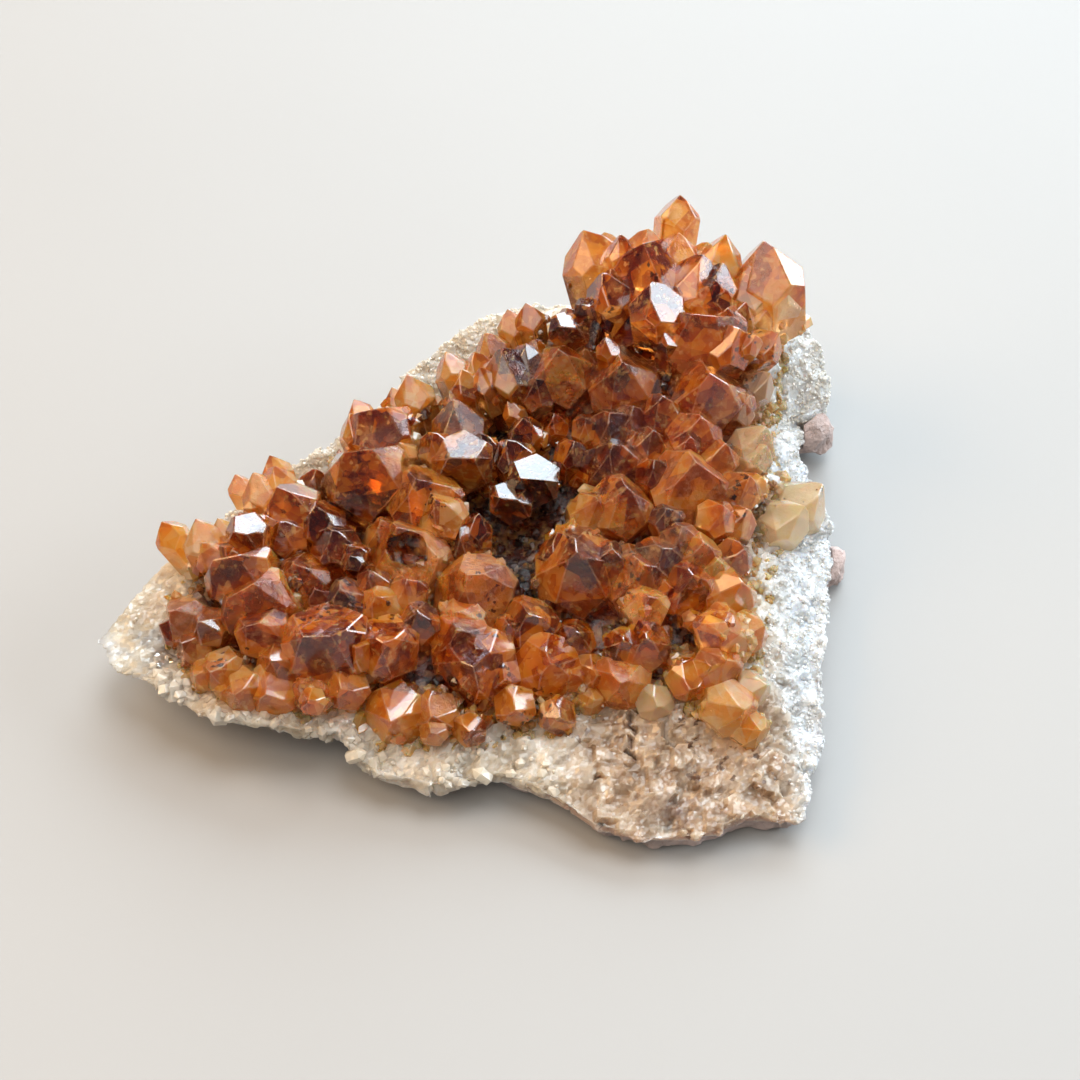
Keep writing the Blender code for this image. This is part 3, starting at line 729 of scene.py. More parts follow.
def crystal_mesh(tip, width, lean, toward, length, twist, broad, rng):
    """One quartz point: a six-sided prism ended by six unequal sloping faces."""
    bm = bmesh.new()
    width = width * SHOULDER_SWELL
    radius = 0.5 * width / math.cos(math.radians(15.0))
    bmesh.ops.create_cone(
        bm,
        cap_ends=True,
        segments=6,
        radius1=radius * ROOT_TAPER,
        radius2=radius,
        depth=length,
        matrix=Matrix.Translation((0.0, 0.0, -0.5 * length)),
    )
    for side in range(6):
        around = math.radians(30.0 + 60.0 * side)
        slope = RHOMB_SLOPE + math.radians(rng.uniform(-2.0, 2.0))
        normal = Vector((
            math.sin(slope) * math.cos(around),
            math.sin(slope) * math.sin(around),
            math.cos(slope),
        ))
        looks = 30.0 + 60.0 * side + twist
        major = side % 2 == 0
        if broad:
            major = any(math.cos(math.radians(looks - angle)) > 0.95 for angle in broad)
        deep = rng.uniform(0.18, 0.32) * (1.0 if broad else 0.6)
        shallow = rng.uniform(0.0, 0.12)
        depth = width * (deep if major else shallow)
        cut = bmesh.ops.bisect_plane(
            bm,
            geom=bm.verts[:] + bm.edges[:] + bm.faces[:],
            plane_co=(0.0, 0.0, -depth),
            plane_no=normal,
            clear_outer=True,
        )
        rim = [e for e in cut["geom_cut"] if isinstance(e, bmesh.types.BMEdge)]
        if rim:
            bmesh.ops.holes_fill(bm, edges=rim, sides=0)
    top = max(v.co.z for v in bm.verts)
    crest = [v.co for v in bm.verts if v.co.z > top - 0.04 * width]
    apex = sum(crest, Vector()) / len(crest)
    turn = Matrix.Rotation(math.radians(toward), 4, "Z")
    tilt = turn @ Matrix.Rotation(math.radians(lean), 4, "Y") @ turn.inverted()
    place = Matrix.Translation(tip) @ tilt @ Matrix.Rotation(math.radians(twist), 4, "Z")
    bmesh.ops.transform(bm, matrix=place @ Matrix.Translation(-apex), verts=bm.verts[:])
    bmesh.ops.recalc_face_normals(bm, faces=bm.faces[:])
    return bm, (tilt @ Vector((0.0, 0.0, 1.0))).to_3d()


def pit_mesh():
    """Ragged ball that hollows out the crater in one of the middle points."""
    bm = bmesh.new()
    bmesh.ops.create_icosphere(bm, subdivisions=2, radius=1.0)
    centre = Vector(HOLLOWS[0][:3])
    for vert in bm.verts:
        ragged = 1.0 + 0.55 * noise.noise(vert.co * 1.9 + Vector((4.0, 1.0, 2.0)))
        vert.co = centre + Vector((vert.co.x * 4.4, vert.co.y * 3.0, vert.co.z * 3.2)) * ragged
    bmesh.ops.recalc_face_normals(bm, faces=bm.faces[:])
    return bm


def worn_edges(bm, edge_round):
    """The crystal with small flats along its edges, or as it was where they do not fit."""
    worn = bm.copy()
    bmesh.ops.remove_doubles(worn, verts=worn.verts[:], dist=FACE_WELD)
    bmesh.ops.dissolve_degenerate(worn, dist=FACE_WELD, edges=worn.edges[:])
    bmesh.ops.bevel(
        worn, geom=worn.edges[:], offset=edge_round, segments=1, affect="EDGES",
        offset_type="OFFSET", clamp_overlap=True,
    )
    bmesh.ops.remove_doubles(worn, verts=worn.verts[:], dist=WORN_WELD)
    sound = all(len(edge.link_faces) == 2 for edge in worn.edges)
    sound = sound and all(face.calc_area() > SMALLEST_FACE for face in worn.faces)
    if sound:
        bm.free()
        return worn
    worn.free()
    return bm


def fill_points(rng):
    """Places for the small points, on a shaken grid wherever no large point stands."""
    rows = []
    x_count, y_count = (int(span / FILL_SPACING) for span in FILL_SPAN)
    for i in range(x_count):
        for j in range(y_count):
            x = FILL_CORNER[0] + (i + 0.5 * (j % 2)) * FILL_SPACING + rng.uniform(-1.6, 1.6)
            y = FILL_CORNER[1] + j * FILL_SPACING + rng.uniform(-1.6, 1.6)
            width = rng.uniform(*FILL_WIDTH)
            rise = rng.uniform(*FILL_RISE)
            spin = rng.uniform(0.0, 360.0)
            if edge_distance(x, y, CRUST_EDGE) < 1.5:
                continue
            crowded = any(
                math.hypot(x - row[0], y - row[1]) < FILL_CLEARANCE * (row[3] + width) * 0.8
                for row in POINTS
            )
            if not crowded:
                z = matrix_top(x, y) + rise
                rows.append((x, y, z, width, 14.0, spin, rise + 4.0))
    return rows


def side_points(rows, rng):
    """Small points that sprout from the shoulders of the large ones."""
    sprouts = []
    for index, row in enumerate(rows):
        x, y, z, width, lean, toward = row[:6]
        if width < 8.0:
            continue
        for _ in range(rng.choice((0, 1, 1, 2))):
            around = rng.uniform(0.0, 2.0 * math.pi)
            out = 0.5 * width * SHOULDER_SWELL * rng.uniform(0.75, 1.0)
            down = width * rng.uniform(0.55, 0.95)
            small = width * rng.uniform(0.24, 0.40)
            tip = (x + out * math.cos(around), y + out * math.sin(around), z - down + small * 0.4)
            swing = rng.uniform(4.0, 20.0)
            sprouts.append((*tip, small, lean + swing, toward, small * 1.9, index))
    return sprouts


def tint_of(row, rng):
    """Dark, pale and frosted shares of a point: its own, or those of the place it grows at."""
    for x, y, dark, pale, frosty in TINTS:
        if math.hypot(row[0] - x, row[1] - y) < TINT_REACH:
            return dark, pale, frosty
    inland = edge_distance(row[0], row[1], CRUST_EDGE)
    dark = smooth((inland - 4.0) / 20.0) + rng.uniform(-0.35, 0.3)
    dark += 0.5 * smooth((-row[1] - 8.0) / 12.0) * smooth((16.0 - row[0]) / 12.0)
    dark -= 0.7 * smooth((row[1] - 12.0) / 18.0) * smooth((row[0] - 8.0) / 14.0)
    dark -= 0.35 * smooth((row[0] - 22.0) / 12.0)
    pale = 0.75 * smooth(1.0 - inland / 10.0) + 0.35 * smooth((row[0] - 15.0) / 20.0)
    pale += rng.uniform(-0.45, 0.25)
    frosty = rng.uniform(0.0, 1.0) ** 1.6
    return min(max(dark, 0.0), 1.0), min(max(pale - 0.4 * dark, 0.0), 1.0), frosty


def twin_points(rows, rng):
    """Points grown parallel to the large ones, stepped down and to the side."""
    twins = []
    for index, row in enumerate(rows):
        x, y, z, width, lean, toward_angle = row[:6]
        if width < 6.5:
            continue
        for _ in range(rng.choice((0, 1, 1)) if width < 9.5 else 1):
            around = rng.uniform(0.0, 2.0 * math.pi)
            out = width * SHOULDER_SWELL * rng.uniform(0.22, 0.42)
            down = width * rng.uniform(0.12, 0.42)
            share = rng.uniform(0.5, 0.78)
            tip = (x + out * math.cos(around), y + out * math.sin(around), z - down)
            twins.append((*tip, width * share, lean + rng.uniform(-2.0, 4.0), toward_angle,
                          width * 1.1, index))
    return twins


def add_boolean(obj, operation, operand=None, collection=None):
    """Exact Boolean against one object or against every object of a collection."""
    modifier = obj.modifiers.new(operation.lower(), "BOOLEAN")
    modifier.operation = operation
    modifier.solver = "EXACT"
    if collection is None:
        modifier.object = operand
    else:
        modifier.operand_type = "COLLECTION"
        modifier.collection = collection


def in_fixed_order(mesh):
    """The mesh as a bmesh, its vertices and faces in an order that is the same each run.

    The exact Boolean works in several threads and hands them over in any order, and the little
    points on the crust fall by the order of the faces.
    """
    places = [tuple(vert.co) for vert in mesh.vertices]
    order = sorted(range(len(places)), key=places.__getitem__)
    rank = {old: new for new, old in enumerate(order)}
    rings = []
    for face in mesh.polygons:
        ring = [rank[vert] for vert in face.vertices]
        first = ring.index(min(ring))
        rings.append(ring[first:] + ring[:first])
    bm = bmesh.new()
    corners = [bm.verts.new(places[old]) for old in order]
    for ring in sorted(rings):
        bm.faces.new([corners[corner] for corner in ring])
    return bm


def outer_skin(mesh):
    """Keep the largest connected skin: pockets sealed inside it are solid quartz."""
    bm = in_fixed_order(mesh)
    bmesh.ops.dissolve_degenerate(bm, dist=0.0000002, edges=bm.edges[:])
    shells = []
    waiting = set(bm.verts)
    while waiting:
        shell = set()
        reached = [waiting.pop()]
        while reached:
            vert = reached.pop()
            shell.add(vert)
            for edge in vert.link_edges:
                other = edge.other_vert(vert)
                if other in waiting:
                    waiting.discard(other)
                    reached.append(other)
        shells.append(shell)
    outer = max(shells, key=len)
    inner = [v for v in bm.verts if v not in outer]
    bmesh.ops.delete(bm, geom=inner, context="VERTS")
    bmesh.ops.triangulate(bm, faces=bm.faces[:])
    bm.to_mesh(mesh)
    bm.free()


def paint(mesh, domain, **layers):
    """Store numbers on the mesh, one per vertex (POINT) or per face corner (CORNER)."""
    for name, values in layers.items():
        layer = mesh.attributes.new(name, "FLOAT", domain)
        layer.data.foreach_set("value", np.asarray(values, np.float32))


def ease(values, low, high):
    """Smooth 0 to 1 between two numbers, on arrays."""
    t = np.clip((values - low) / (high - low), 0.0, 1.0)
    return t * t * (3.0 - 2.0 * t)


def edge_distances(places, edge):
    """Signed distance from an outline for many places, positive inside."""
    return np.array([edge_distance(x, y, edge) for x, y in places[:, :2].tolist()])


def colour_growths(mesh, growths):
    """Mark every face with the point it belongs to: depth below the tip, tone, pallor, frost, a
    painted highlight on the worn edges (rim) and painted shade in the hollows (deep).
    """
    count = len(mesh.polygons)
    centres = np.zeros(count * 3)
    mesh.polygons.foreach_get("center", centres)
    centres = centres.reshape(-1, 3) / MM + np.array(CENTRE)
    corners = np.zeros(len(mesh.loops), np.int32)
    mesh.loops.foreach_get("vertex_index", corners)
    places = np.zeros(len(mesh.vertices) * 3)
    mesh.vertices.foreach_get("co", places)
    places = places.reshape(-1, 3)[corners].reshape(count, 3, 3) / MM + np.array(CENTRE)
    best = np.full(count, -0.4)
    owner = np.full(count, -1)
    for index, growth in enumerate(growths):
        near = np.abs(centres - growth["middle"]).max(1) < growth["size"]
        picked = np.nonzero(near)[0]
        if len(picked) == 0:
            continue
        reach = (centres[picked] @ growth["normals"].T - growth["offsets"]).max(1)
        better = (reach < 0.08) & (reach > best[picked])
        best[picked[better]] = reach[better]
        owner[picked[better]] = index
    inland = ease(edge_distances(centres, CRUST_EDGE), 1.0, 7.0)
    zone = np.repeat(1.15 - 0.75 * inland, 3).reshape(count, 3)
    tone = 0.2 + 0.75 * inland
    pale = 0.2 * (1.0 - inland)
    frost = np.full(count, 0.9)
    rim = np.zeros(count)
    facing = np.zeros(count * 3)
    mesh.polygons.foreach_get("normal", facing)
    facing = facing.reshape(-1, 3)
    rng = np.random.default_rng(FROST_SEED)
    for index, growth in enumerate(growths):
        picked = np.nonzero(owner == index)[0]
        if len(picked) == 0:
            continue
        below = (growth["tip"] - places[picked]) @ growth["axis"]
        zone[picked] = growth["start"] + below / growth["reach"]
        tone[picked] = growth["tone"]
        pale[picked] = growth["pale"]
        plane = (centres[picked] @ growth["normals"].T - growth["offsets"]).argmax(1)
        dull = rng.uniform(-0.25, 0.35, len(growth["offsets"])) + growth["frost"]
        frost[picked] = np.clip(dull, 0.0, 1.0)[plane]
        turned = (facing[picked] * growth["normals"][plane]).sum(1)
        # rim marks the worn flats along the edges, which the citrine material makes lighter as a
        # painted highlight.
        rim[picked] = (turned < 0.985) & (turned > 0.2)
    x_cell = np.clip((centres[:, 0] + 80.0).astype(int), 0, 159)
    y_cell = np.clip((centres[:, 1] + 60.0).astype(int), 0, 139)
    canopy = np.zeros((160, 140))
    np.maximum.at(canopy, (x_cell, y_cell), centres[:, 2])
    reach = 5
    peaks = canopy.copy()
    for dx in range(-reach, reach + 1):
        for dy in range(-reach, reach + 1):
            if dx * dx + dy * dy <= reach * reach:
                peaks = np.maximum(peaks, np.roll(canopy, (dx, dy), (0, 1)))
    # deep is painted shade: faces well below the nearby tips, the crust between the points and the
    # places round HOLLOWS are darkened in the citrine material.
    sunk = peaks[x_cell, y_cell] - centres[:, 2]
    deep = ease(sunk, 4.0, 11.0) * ease(edge_distances(centres, CRUST_EDGE), 0.0, 9.0)
    deep = np.where(owner < 0, np.maximum(deep, 0.6 * inland), deep)
    for hx, hy, hz, radius in HOLLOWS:
        away = np.linalg.norm(centres - np.array((hx, hy, hz)), axis=1)
        deep = np.maximum(deep, ease(away, 1.45 * radius, 0.8 * radius))
    flat = places.mean(1)
    rim_share = ease(edge_distances(flat, CRUST_EDGE), 11.0, 5.0)
    low_share = np.where(owner < 0, 1.0, ease(zone.mean(1), 0.62, 0.9))
    druse = low_share * (0.4 + 0.6 * rim_share) * ease(facing[:, 2], -0.1, 0.3)
    druse *= ease(centres[:, 2], 30.0, 26.0)
    total = np.zeros(len(mesh.vertices))
    share = np.zeros(len(mesh.vertices))
    np.add.at(total, corners, np.repeat(druse, 3))
    np.add.at(share, corners, 1.0)
    paint(mesh, "POINT", druse=total / np.maximum(share, 1.0))
    paint(mesh, "CORNER", zone=zone.ravel())
    by_face = {"deep": deep, "tone": tone, "pale": pale, "frost": frost, "rim": rim}
    paint(mesh, "CORNER", **{name: np.repeat(values, 3) for name, values in by_face.items()})


class NodeBench:
    """Short way to lay out the nodes of one tree."""

    def __init__(self, tree):
        self.tree = tree
        self.column = 0

    def add(self, kind, inputs=None, **settings):
        """Add a node, set its properties, and set or link its inputs."""
        node = self.tree.nodes.new(kind)
        node.location = (self.column, 0)
        self.column += 180
        for key, value in settings.items():
            setattr(node, key, value)
        for key, value in (inputs or {}).items():
            socket = node.inputs[key]
            if isinstance(value, bpy.types.NodeSocket):
                self.tree.links.new(value, socket)
            else:
                socket.default_value = value
        return node

    def maths(self, operation, first, second=0.0):
        """Math node; gives its output."""
        return self.add("ShaderNodeMath", {0: first, 1: second}, operation=operation).outputs[0]

    def spread(self, value, low, high, to_low=0.0, to_high=1.0):
        """Map Range node; gives its output."""
        inputs = {0: value, 1: low, 2: high, 3: to_low, 4: to_high}
        return self.add("ShaderNodeMapRange", inputs).outputs[0]

    def blend(self, factor, first, second, how="MIX"):
        """Colour mix; gives its output."""
        node = self.add("ShaderNodeMix", data_type="RGBA", blend_type=how)
        for slot, value in ((0, factor), (6, first), (7, second)):
            if isinstance(value, bpy.types.NodeSocket):
                self.tree.links.new(value, node.inputs[slot])
            elif slot == 0:
                node.inputs[slot].default_value = value
            else:
                node.inputs[slot].default_value = (*value[:3], 1.0)
        return node.outputs[2]

    def ramp(self, factor, stops):
        """Colour ramp through the given (position, colour) stops."""
        node = self.add("ShaderNodeValToRGB", {0: factor})
        elements = node.color_ramp.elements
        while len(elements) < len(stops):
            elements.new(0.5)
        for element, (position, colour) in zip(elements, stops):
            element.position = position
            element.color = (*colour[:3], 1.0)
        return node.outputs[0]


def new_group(name, inputs, outputs):
    """Empty shader node group with named sockets."""
    tree = bpy.data.node_groups.new(name, "ShaderNodeTree")
    for label, kind, value in inputs:
        socket = tree.interface.new_socket(label, in_out="INPUT", socket_type=kind)
        if value is not None:
            socket.default_value = value
    for label, kind in outputs:
        tree.interface.new_socket(label, in_out="OUTPUT", socket_type=kind)
    bench = NodeBench(tree)
    return tree, bench, bench.add("NodeGroupInput"), tree.nodes.new("NodeGroupOutput")


def cloud_group():
    """Soft cloudiness of quartz: a mask from two sizes of noise."""
    found = bpy.data.node_groups.get("quartz_cloud")
    if found:
        return found
    inputs = [
        ("Vector", "NodeSocketVector", None),
        ("Scale", "NodeSocketFloat", 100.0),
        ("Detail", "NodeSocketFloat", 4.0),
        ("Low", "NodeSocketFloat", 0.3),
        ("High", "NodeSocketFloat", 0.7),
    ]
    tree, bench, given, result = new_group("quartz_cloud", inputs, [("Mask", "NodeSocketFloat")])
    cloud = bench.add(
        "ShaderNodeTexNoise",
        {
            "Vector": given.outputs["Vector"],
            "Scale": given.outputs["Scale"],
            "Detail": given.outputs["Detail"],
            "Roughness": 0.6,
        },
    )
    mask = bench.spread(cloud.outputs[0], given.outputs["Low"], given.outputs["High"])
    tree.links.new(mask, result.inputs["Mask"])
    return tree


def speck_group():
    """Dark specks: small irregular spots, gathered in patches."""
    found = bpy.data.node_groups.get("dark_specks")
    if found:
        return found
    inputs = [
        ("Vector", "NodeSocketVector", None),
        ("Scale", "NodeSocketFloat", 700.0),
        ("Size", "NodeSocketFloat", 0.2),
        ("Patches", "NodeSocketFloat", 90.0),
        ("Share", "NodeSocketFloat", 0.6),
    ]
    tree, bench, given, result = new_group("dark_specks", inputs, [("Mask", "NodeSocketFloat")])
    spots = bench.add(
        "ShaderNodeTexVoronoi",
        {"Vector": given.outputs["Vector"], "Scale": given.outputs["Scale"]},
    )
    finer = bench.maths("MULTIPLY", given.outputs["Scale"], 1.7)
    ragged = bench.add(
        "ShaderNodeTexNoise",
        {"Vector": given.outputs["Vector"], "Scale": finer, "Detail": 3.0},
    )
    wander = bench.spread(ragged.outputs[0], 0.3, 0.7, -0.3, 0.3)
    chance = bench.spread(spots.outputs["Color"], 0.4, 0.75, -0.35, 1.0)
    room = bench.maths("MULTIPLY", chance, given.outputs["Size"])
    near = bench.maths("LESS_THAN", bench.maths("ADD", spots.outputs[0], wander), room)
    patch = bench.add(
        "ShaderNodeTexNoise",
        {"Vector": given.outputs["Vector"], "Scale": given.outputs["Patches"], "Detail": 1.0},
    )
    gathered = bench.maths("GREATER_THAN", patch.outputs[0], given.outputs["Share"])
    tree.links.new(bench.maths("MULTIPLY", near, gathered), result.inputs["Mask"])
    return tree


def facet_group():
    """Broken quartz: a height made of small flat tilted facets, and a random value for each."""
    found = bpy.data.node_groups.get("broken_facets")
    if found:
        return found
    inputs = [("Vector", "NodeSocketVector", None), ("Scale", "NodeSocketFloat", 800.0)]
    outputs = [("Mask", "NodeSocketFloat"), ("Random", "NodeSocketFloat")]
    tree, bench, given, result = new_group("broken_facets", inputs, outputs)
    cells = bench.add(
        "ShaderNodeTexVoronoi",
        {"Vector": given.outputs["Vector"], "Scale": given.outputs["Scale"]},
    )
    gap = bench.add(
        "ShaderNodeVectorMath",
        {0: given.outputs["Vector"], 1: cells.outputs["Position"]},
        operation="SUBTRACT",
    )
    tilt = bench.add(
        "ShaderNodeVectorMath",
        {0: cells.outputs["Color"], 1: (0.5, 0.5, 0.5)},
        operation="SUBTRACT",
    )
    slope = bench.add(
        "ShaderNodeVectorMath", {0: gap.outputs[0], 1: tilt.outputs[0]}, operation="DOT_PRODUCT"
    )
    height = bench.maths("MULTIPLY", slope.outputs["Value"], given.outputs["Scale"])
    tree.links.new(height, result.inputs["Mask"])
    tree.links.new(cells.outputs["Color"], result.inputs["Random"])
    return tree


def use_group(bench, tree, vector, output="Mask", **values):
    """Place a group in a material; gives its mask."""
    node = bench.add("ShaderNodeGroup")
    node.node_tree = tree
    bench.tree.links.new(vector, node.inputs["Vector"])
    for label, value in values.items():
        node.inputs[label].default_value = value
    return node.outputs[output]


def new_material(name):
    """Material with an empty bench, its Principled shader and its Object coordinates."""
    material = bpy.data.materials.new(name)
    material.use_nodes = True
    bench = NodeBench(material.node_tree)
    shader = material.node_tree.nodes["Principled BSDF"]
    shader.location = (3200, 0)
    where = bench.add("ShaderNodeTexCoord").outputs["Object"]
    return material, bench, shader, where


def set_inputs(shader, **values):
    """Set plain numbers and colours straight on a shader; underscores stand for spaces."""
    for label, value in values.items():
        shader.inputs[label.replace("_", " ")].default_value = value


def attribute(bench, name):
    """Number stored on the mesh."""
    return bench.add("ShaderNodeAttribute", attribute_name=name).outputs["Fac"]


def citrine_material(settings):
    """See-through quartz: dark red-brown tips over burnt orange bodies and milky roots."""
    material, bench, shader, where = new_material("citrine")
    link = material.node_tree.links.new
    zone = attribute(bench, "zone")
    tone = attribute(bench, "tone")
    pale = attribute(bench, "pale")
    frost = attribute(bench, "frost")
    fine = use_group(bench, cloud_group(), where, Scale=1100.0, Detail=6.0, Low=0.3, High=0.7)
    veil = use_group(bench, cloud_group(), where, Scale=420.0, Detail=5.0, Low=0.48, High=0.68)
    broad = use_group(bench, cloud_group(), where, Scale=170.0, Detail=2.0, Low=0.32, High=0.68)
    planes = use_group(bench, facet_group(), where, "Random", Scale=230.0)
    splinters = use_group(bench, facet_group(), where, "Random", Scale=620.0)
    shift = bench.spread(planes, 0.25, 0.75, -0.3, 0.3)
    splinter = bench.spread(splinters, 0.25, 0.75, -0.16, 0.16)
    drift = bench.spread(broad, 0.0, 1.0, -0.16, 0.16)
    depth = bench.maths("ADD", bench.maths("ADD", zone, shift), bench.maths("ADD", splinter, drift))
    warm = bench.ramp(depth, (
        (0.0, settings.tip_colour),
        (0.22, (0.60, 0.10, 0.006)),
        (0.45, settings.body_colour),
        (0.75, (1.0, 0.48, 0.05)),
        (1.0, settings.root_colour),
    ))
    dark = bench.ramp(depth, (
        (0.0, (0.06, 0.008, 0.007)),
        (0.3, (0.18, 0.022, 0.006)),
        (0.65, (0.68, 0.15, 0.006)),
        (1.0, (1.0, 0.40, 0.035)),
    ))
    light = bench.ramp(depth, (
        (0.0, (0.84, 0.24, 0.015)),
        (0.3, (1.0, 0.39, 0.028)),
        (0.65, (1.0, 0.51, 0.10)),
        (1.0, (1.0, 0.68, 0.35)),
    ))
    colour = bench.blend(tone, warm, dark)
    colour = bench.blend(pale, colour, light)
    colour = bench.blend(bench.spread(pale, 0.9, 1.0, 0.0, 0.8), colour, (1.0, 0.81, 0.54))
    # Painted shade: the colour darkened in the hollows and gaps between the points, by the deep
    # mark.
    painted_shade = bench.blend(1.0, colour, (0.13, 0.045, 0.025), "MULTIPLY")
    colour = bench.blend(attribute(bench, "deep"), colour, painted_shade)
    milk = bench.maths("MULTIPLY", veil, bench.spread(frost, 0.0, 1.0, 0.06, 0.6))
    colour = bench.blend(milk, colour, (0.92, 0.46, 0.17))
    # Painted glints: small bright golden-orange spots inside the veils, standing in for sparkle off
    # inner cracks.
    painted_glints = use_group(bench, facet_group(), where, "Random", Scale=1500.0)
    painted_glints = bench.maths("MULTIPLY", bench.spread(painted_glints, 0.66, 0.7), veil)
    colour = bench.blend(bench.maths("MULTIPLY", painted_glints, 0.7), colour, (1.0, 0.66, 0.22))
    # Painted highlight: the worn flats along the crystal edges made lighter, pale orange.
    edge = bench.maths("MULTIPLY", attribute(bench, "rim"), bench.spread(fine, 0.2, 0.8, 0.05, 0.4))
    colour = bench.blend(edge, colour, (1.0, 0.62, 0.36))
    specks = use_group(
        bench, speck_group(), where, Scale=900.0, Size=0.45, Patches=75.0, Share=0.63
    )
    colour = bench.blend(bench.maths("MULTIPLY", specks, 0.92), colour, (0.02, 0.008, 0.005))
    link(colour, shader.inputs["Base Color"])
    rough = bench.spread(frost, 0.0, 1.0, 0.02, 0.3)
    link(bench.maths("ADD", rough, bench.maths("MULTIPLY", veil, 0.06)), shader.inputs["Roughness"])
    link(bench.spread(frost, 0.45, 0.9, 0.6, 0.0), shader.inputs["Coat Weight"])
    set_inputs(
        shader, Coat_Roughness=0.03, Transmission_Weight=0.75, IOR=QUARTZ_IOR,
        Subsurface_Weight=0.8, Subsurface_Radius=(1.0, 0.5, 0.22), Subsurface_Scale=0.003,
    )
    glint = use_group(bench, facet_group(), where, Scale=850.0)
    height = bench.maths("MULTIPLY_ADD", fine, 0.5)
    link(glint, height.node.inputs[2])
    height = bench.maths("MULTIPLY", height, bench.spread(frost, 0.2, 1.0, 0.04, 1.0))
    bump = bench.add("ShaderNodeBump", {"Strength": 0.6, "Distance": 0.0005, "Height": height})
    link(bump.outputs[0], shader.inputs["Normal"])
    absorb = bench.add("ShaderNodeVolumeAbsorption")
    absorb.inputs["Color"].default_value = (*settings.absorb_colour, 1.0)
    absorb.inputs["Density"].default_value = settings.absorb_density
    output = material.node_tree.nodes["Material Output"]
    link(absorb.outputs[0], output.inputs["Volume"])
    return material


def quartz_material(settings):
    """White quartz: milky and clear by turns, beige on the broken face, cool on the right."""
    material, bench, shader, where = new_material("milky_quartz")
    link = material.node_tree.links.new
    stain = attribute(bench, "stain")
    cool = attribute(bench, "cool")
    blush = attribute(bench, "blush")
    broad = use_group(bench, cloud_group(), where, Scale=110.0, Detail=4.0, Low=0.4, High=0.62)
    patch = use_group(bench, cloud_group(), where, Scale=330.0, Detail=5.0, Low=0.42, High=0.62)
    fine = use_group(bench, cloud_group(), where, Scale=1100.0, Detail=6.0, Low=0.3, High=0.7)
    grain = use_group(bench, facet_group(), where, "Random", Scale=420.0)
    grain = bench.spread(grain, 0.3, 0.7)
    milky = bench.blend(patch, settings.quartz_colour, (0.80, 0.73, 0.63))
    clear = bench.blend(patch, (0.42, 0.35, 0.25), (0.58, 0.49, 0.37))
    ivory = bench.blend(bench.maths("MULTIPLY", broad, 0.8), milky, clear)
    cold = bench.blend(patch, (0.86, 0.89, 0.92), (0.66, 0.70, 0.75))
    colour = bench.blend(cool, ivory, cold)
    beige = bench.blend(broad, settings.stain_colour, (0.48, 0.34, 0.23))
    beige = bench.blend(bench.maths("MULTIPLY", patch, 0.55), beige, (0.80, 0.68, 0.54))
    beige = bench.blend(bench.maths("MULTIPLY", fine, 0.3), beige, (0.36, 0.22, 0.13))
    colour = bench.blend(stain, colour, beige)
    colour = bench.blend(blush, colour, (0.46, 0.29, 0.23))
    shade = bench.blend(1.0, colour, (0.66, 0.64, 0.60), "MULTIPLY")
    colour = bench.blend(bench.maths("MULTIPLY", grain, 0.6), colour, shade)
    specks = use_group(
        bench, speck_group(), where, Scale=560.0, Size=0.42, Patches=70.0, Share=0.56
    )
    dirt = bench.maths("MULTIPLY", specks, bench.maths("MULTIPLY", stain, 0.85))
    colour = bench.blend(dirt, colour, (0.12, 0.06, 0.035))
    uneven = bench.spread(fine, 0.0, 1.0, 0.3, 0.9)
    marked = bench.maths("MULTIPLY", attribute(bench, "dirt"), uneven)
    colour = bench.blend(marked, colour, (0.17, 0.10, 0.08))
    # Painted shade, tinted orange, where the matrix lies under the crystal crust.
    colour = bench.blend(attribute(bench, "under"), colour, (0.62, 0.27, 0.07))
    link(colour, shader.inputs["Base Color"])
    link(bench.spread(grain, 0.0, 1.0, 0.05, 0.3), shader.inputs["Roughness"])
    set_inputs(
        shader, Transmission_Weight=0.25, IOR=QUARTZ_IOR,
        Subsurface_Weight=0.9, Subsurface_Radius=(1.0, 0.85, 0.7), Subsurface_Scale=0.005,
    )
    glint = use_group(bench, facet_group(), where, Scale=420.0)
    small = use_group(bench, facet_group(), where, Scale=1300.0)
    height = bench.maths("MULTIPLY_ADD", small, 0.4)
    link(glint, height.node.inputs[2])
    bump = bench.add("ShaderNodeBump", {"Strength": 0.9, "Distance": 0.0012, "Height": height})
    link(bump.outputs[0], shader.inputs["Normal"])
    return material


def grain_material():
    """Clear to milky little quartz grains."""
    material, bench, shader, where = new_material("quartz_grains")
    link = material.node_tree.links.new
    broad = use_group(bench, cloud_group(), where, Scale=120.0, Detail=3.0, Low=0.35, High=0.7)
    warm = attribute(bench, "warm")
    colour = bench.blend(broad, (0.93, 0.94, 0.95), (0.90, 0.86, 0.78))
    colour = bench.blend(bench.maths("MULTIPLY", warm, 0.8), colour, (0.90, 0.76, 0.56))
    link(colour, shader.inputs["Base Color"])
    set_inputs(
        shader, Roughness=0.1, Transmission_Weight=0.4, IOR=QUARTZ_IOR,
        Subsurface_Weight=0.6, Subsurface_Radius=(1.0, 0.95, 0.9), Subsurface_Scale=0.003,
    )
    glint = use_group(bench, facet_group(), where, Scale=1500.0)
    bump = bench.add("ShaderNodeBump", {"Strength": 0.5, "Distance": 0.0004, "Height": glint})
    link(bump.outputs[0], shader.inputs["Normal"])
    return material


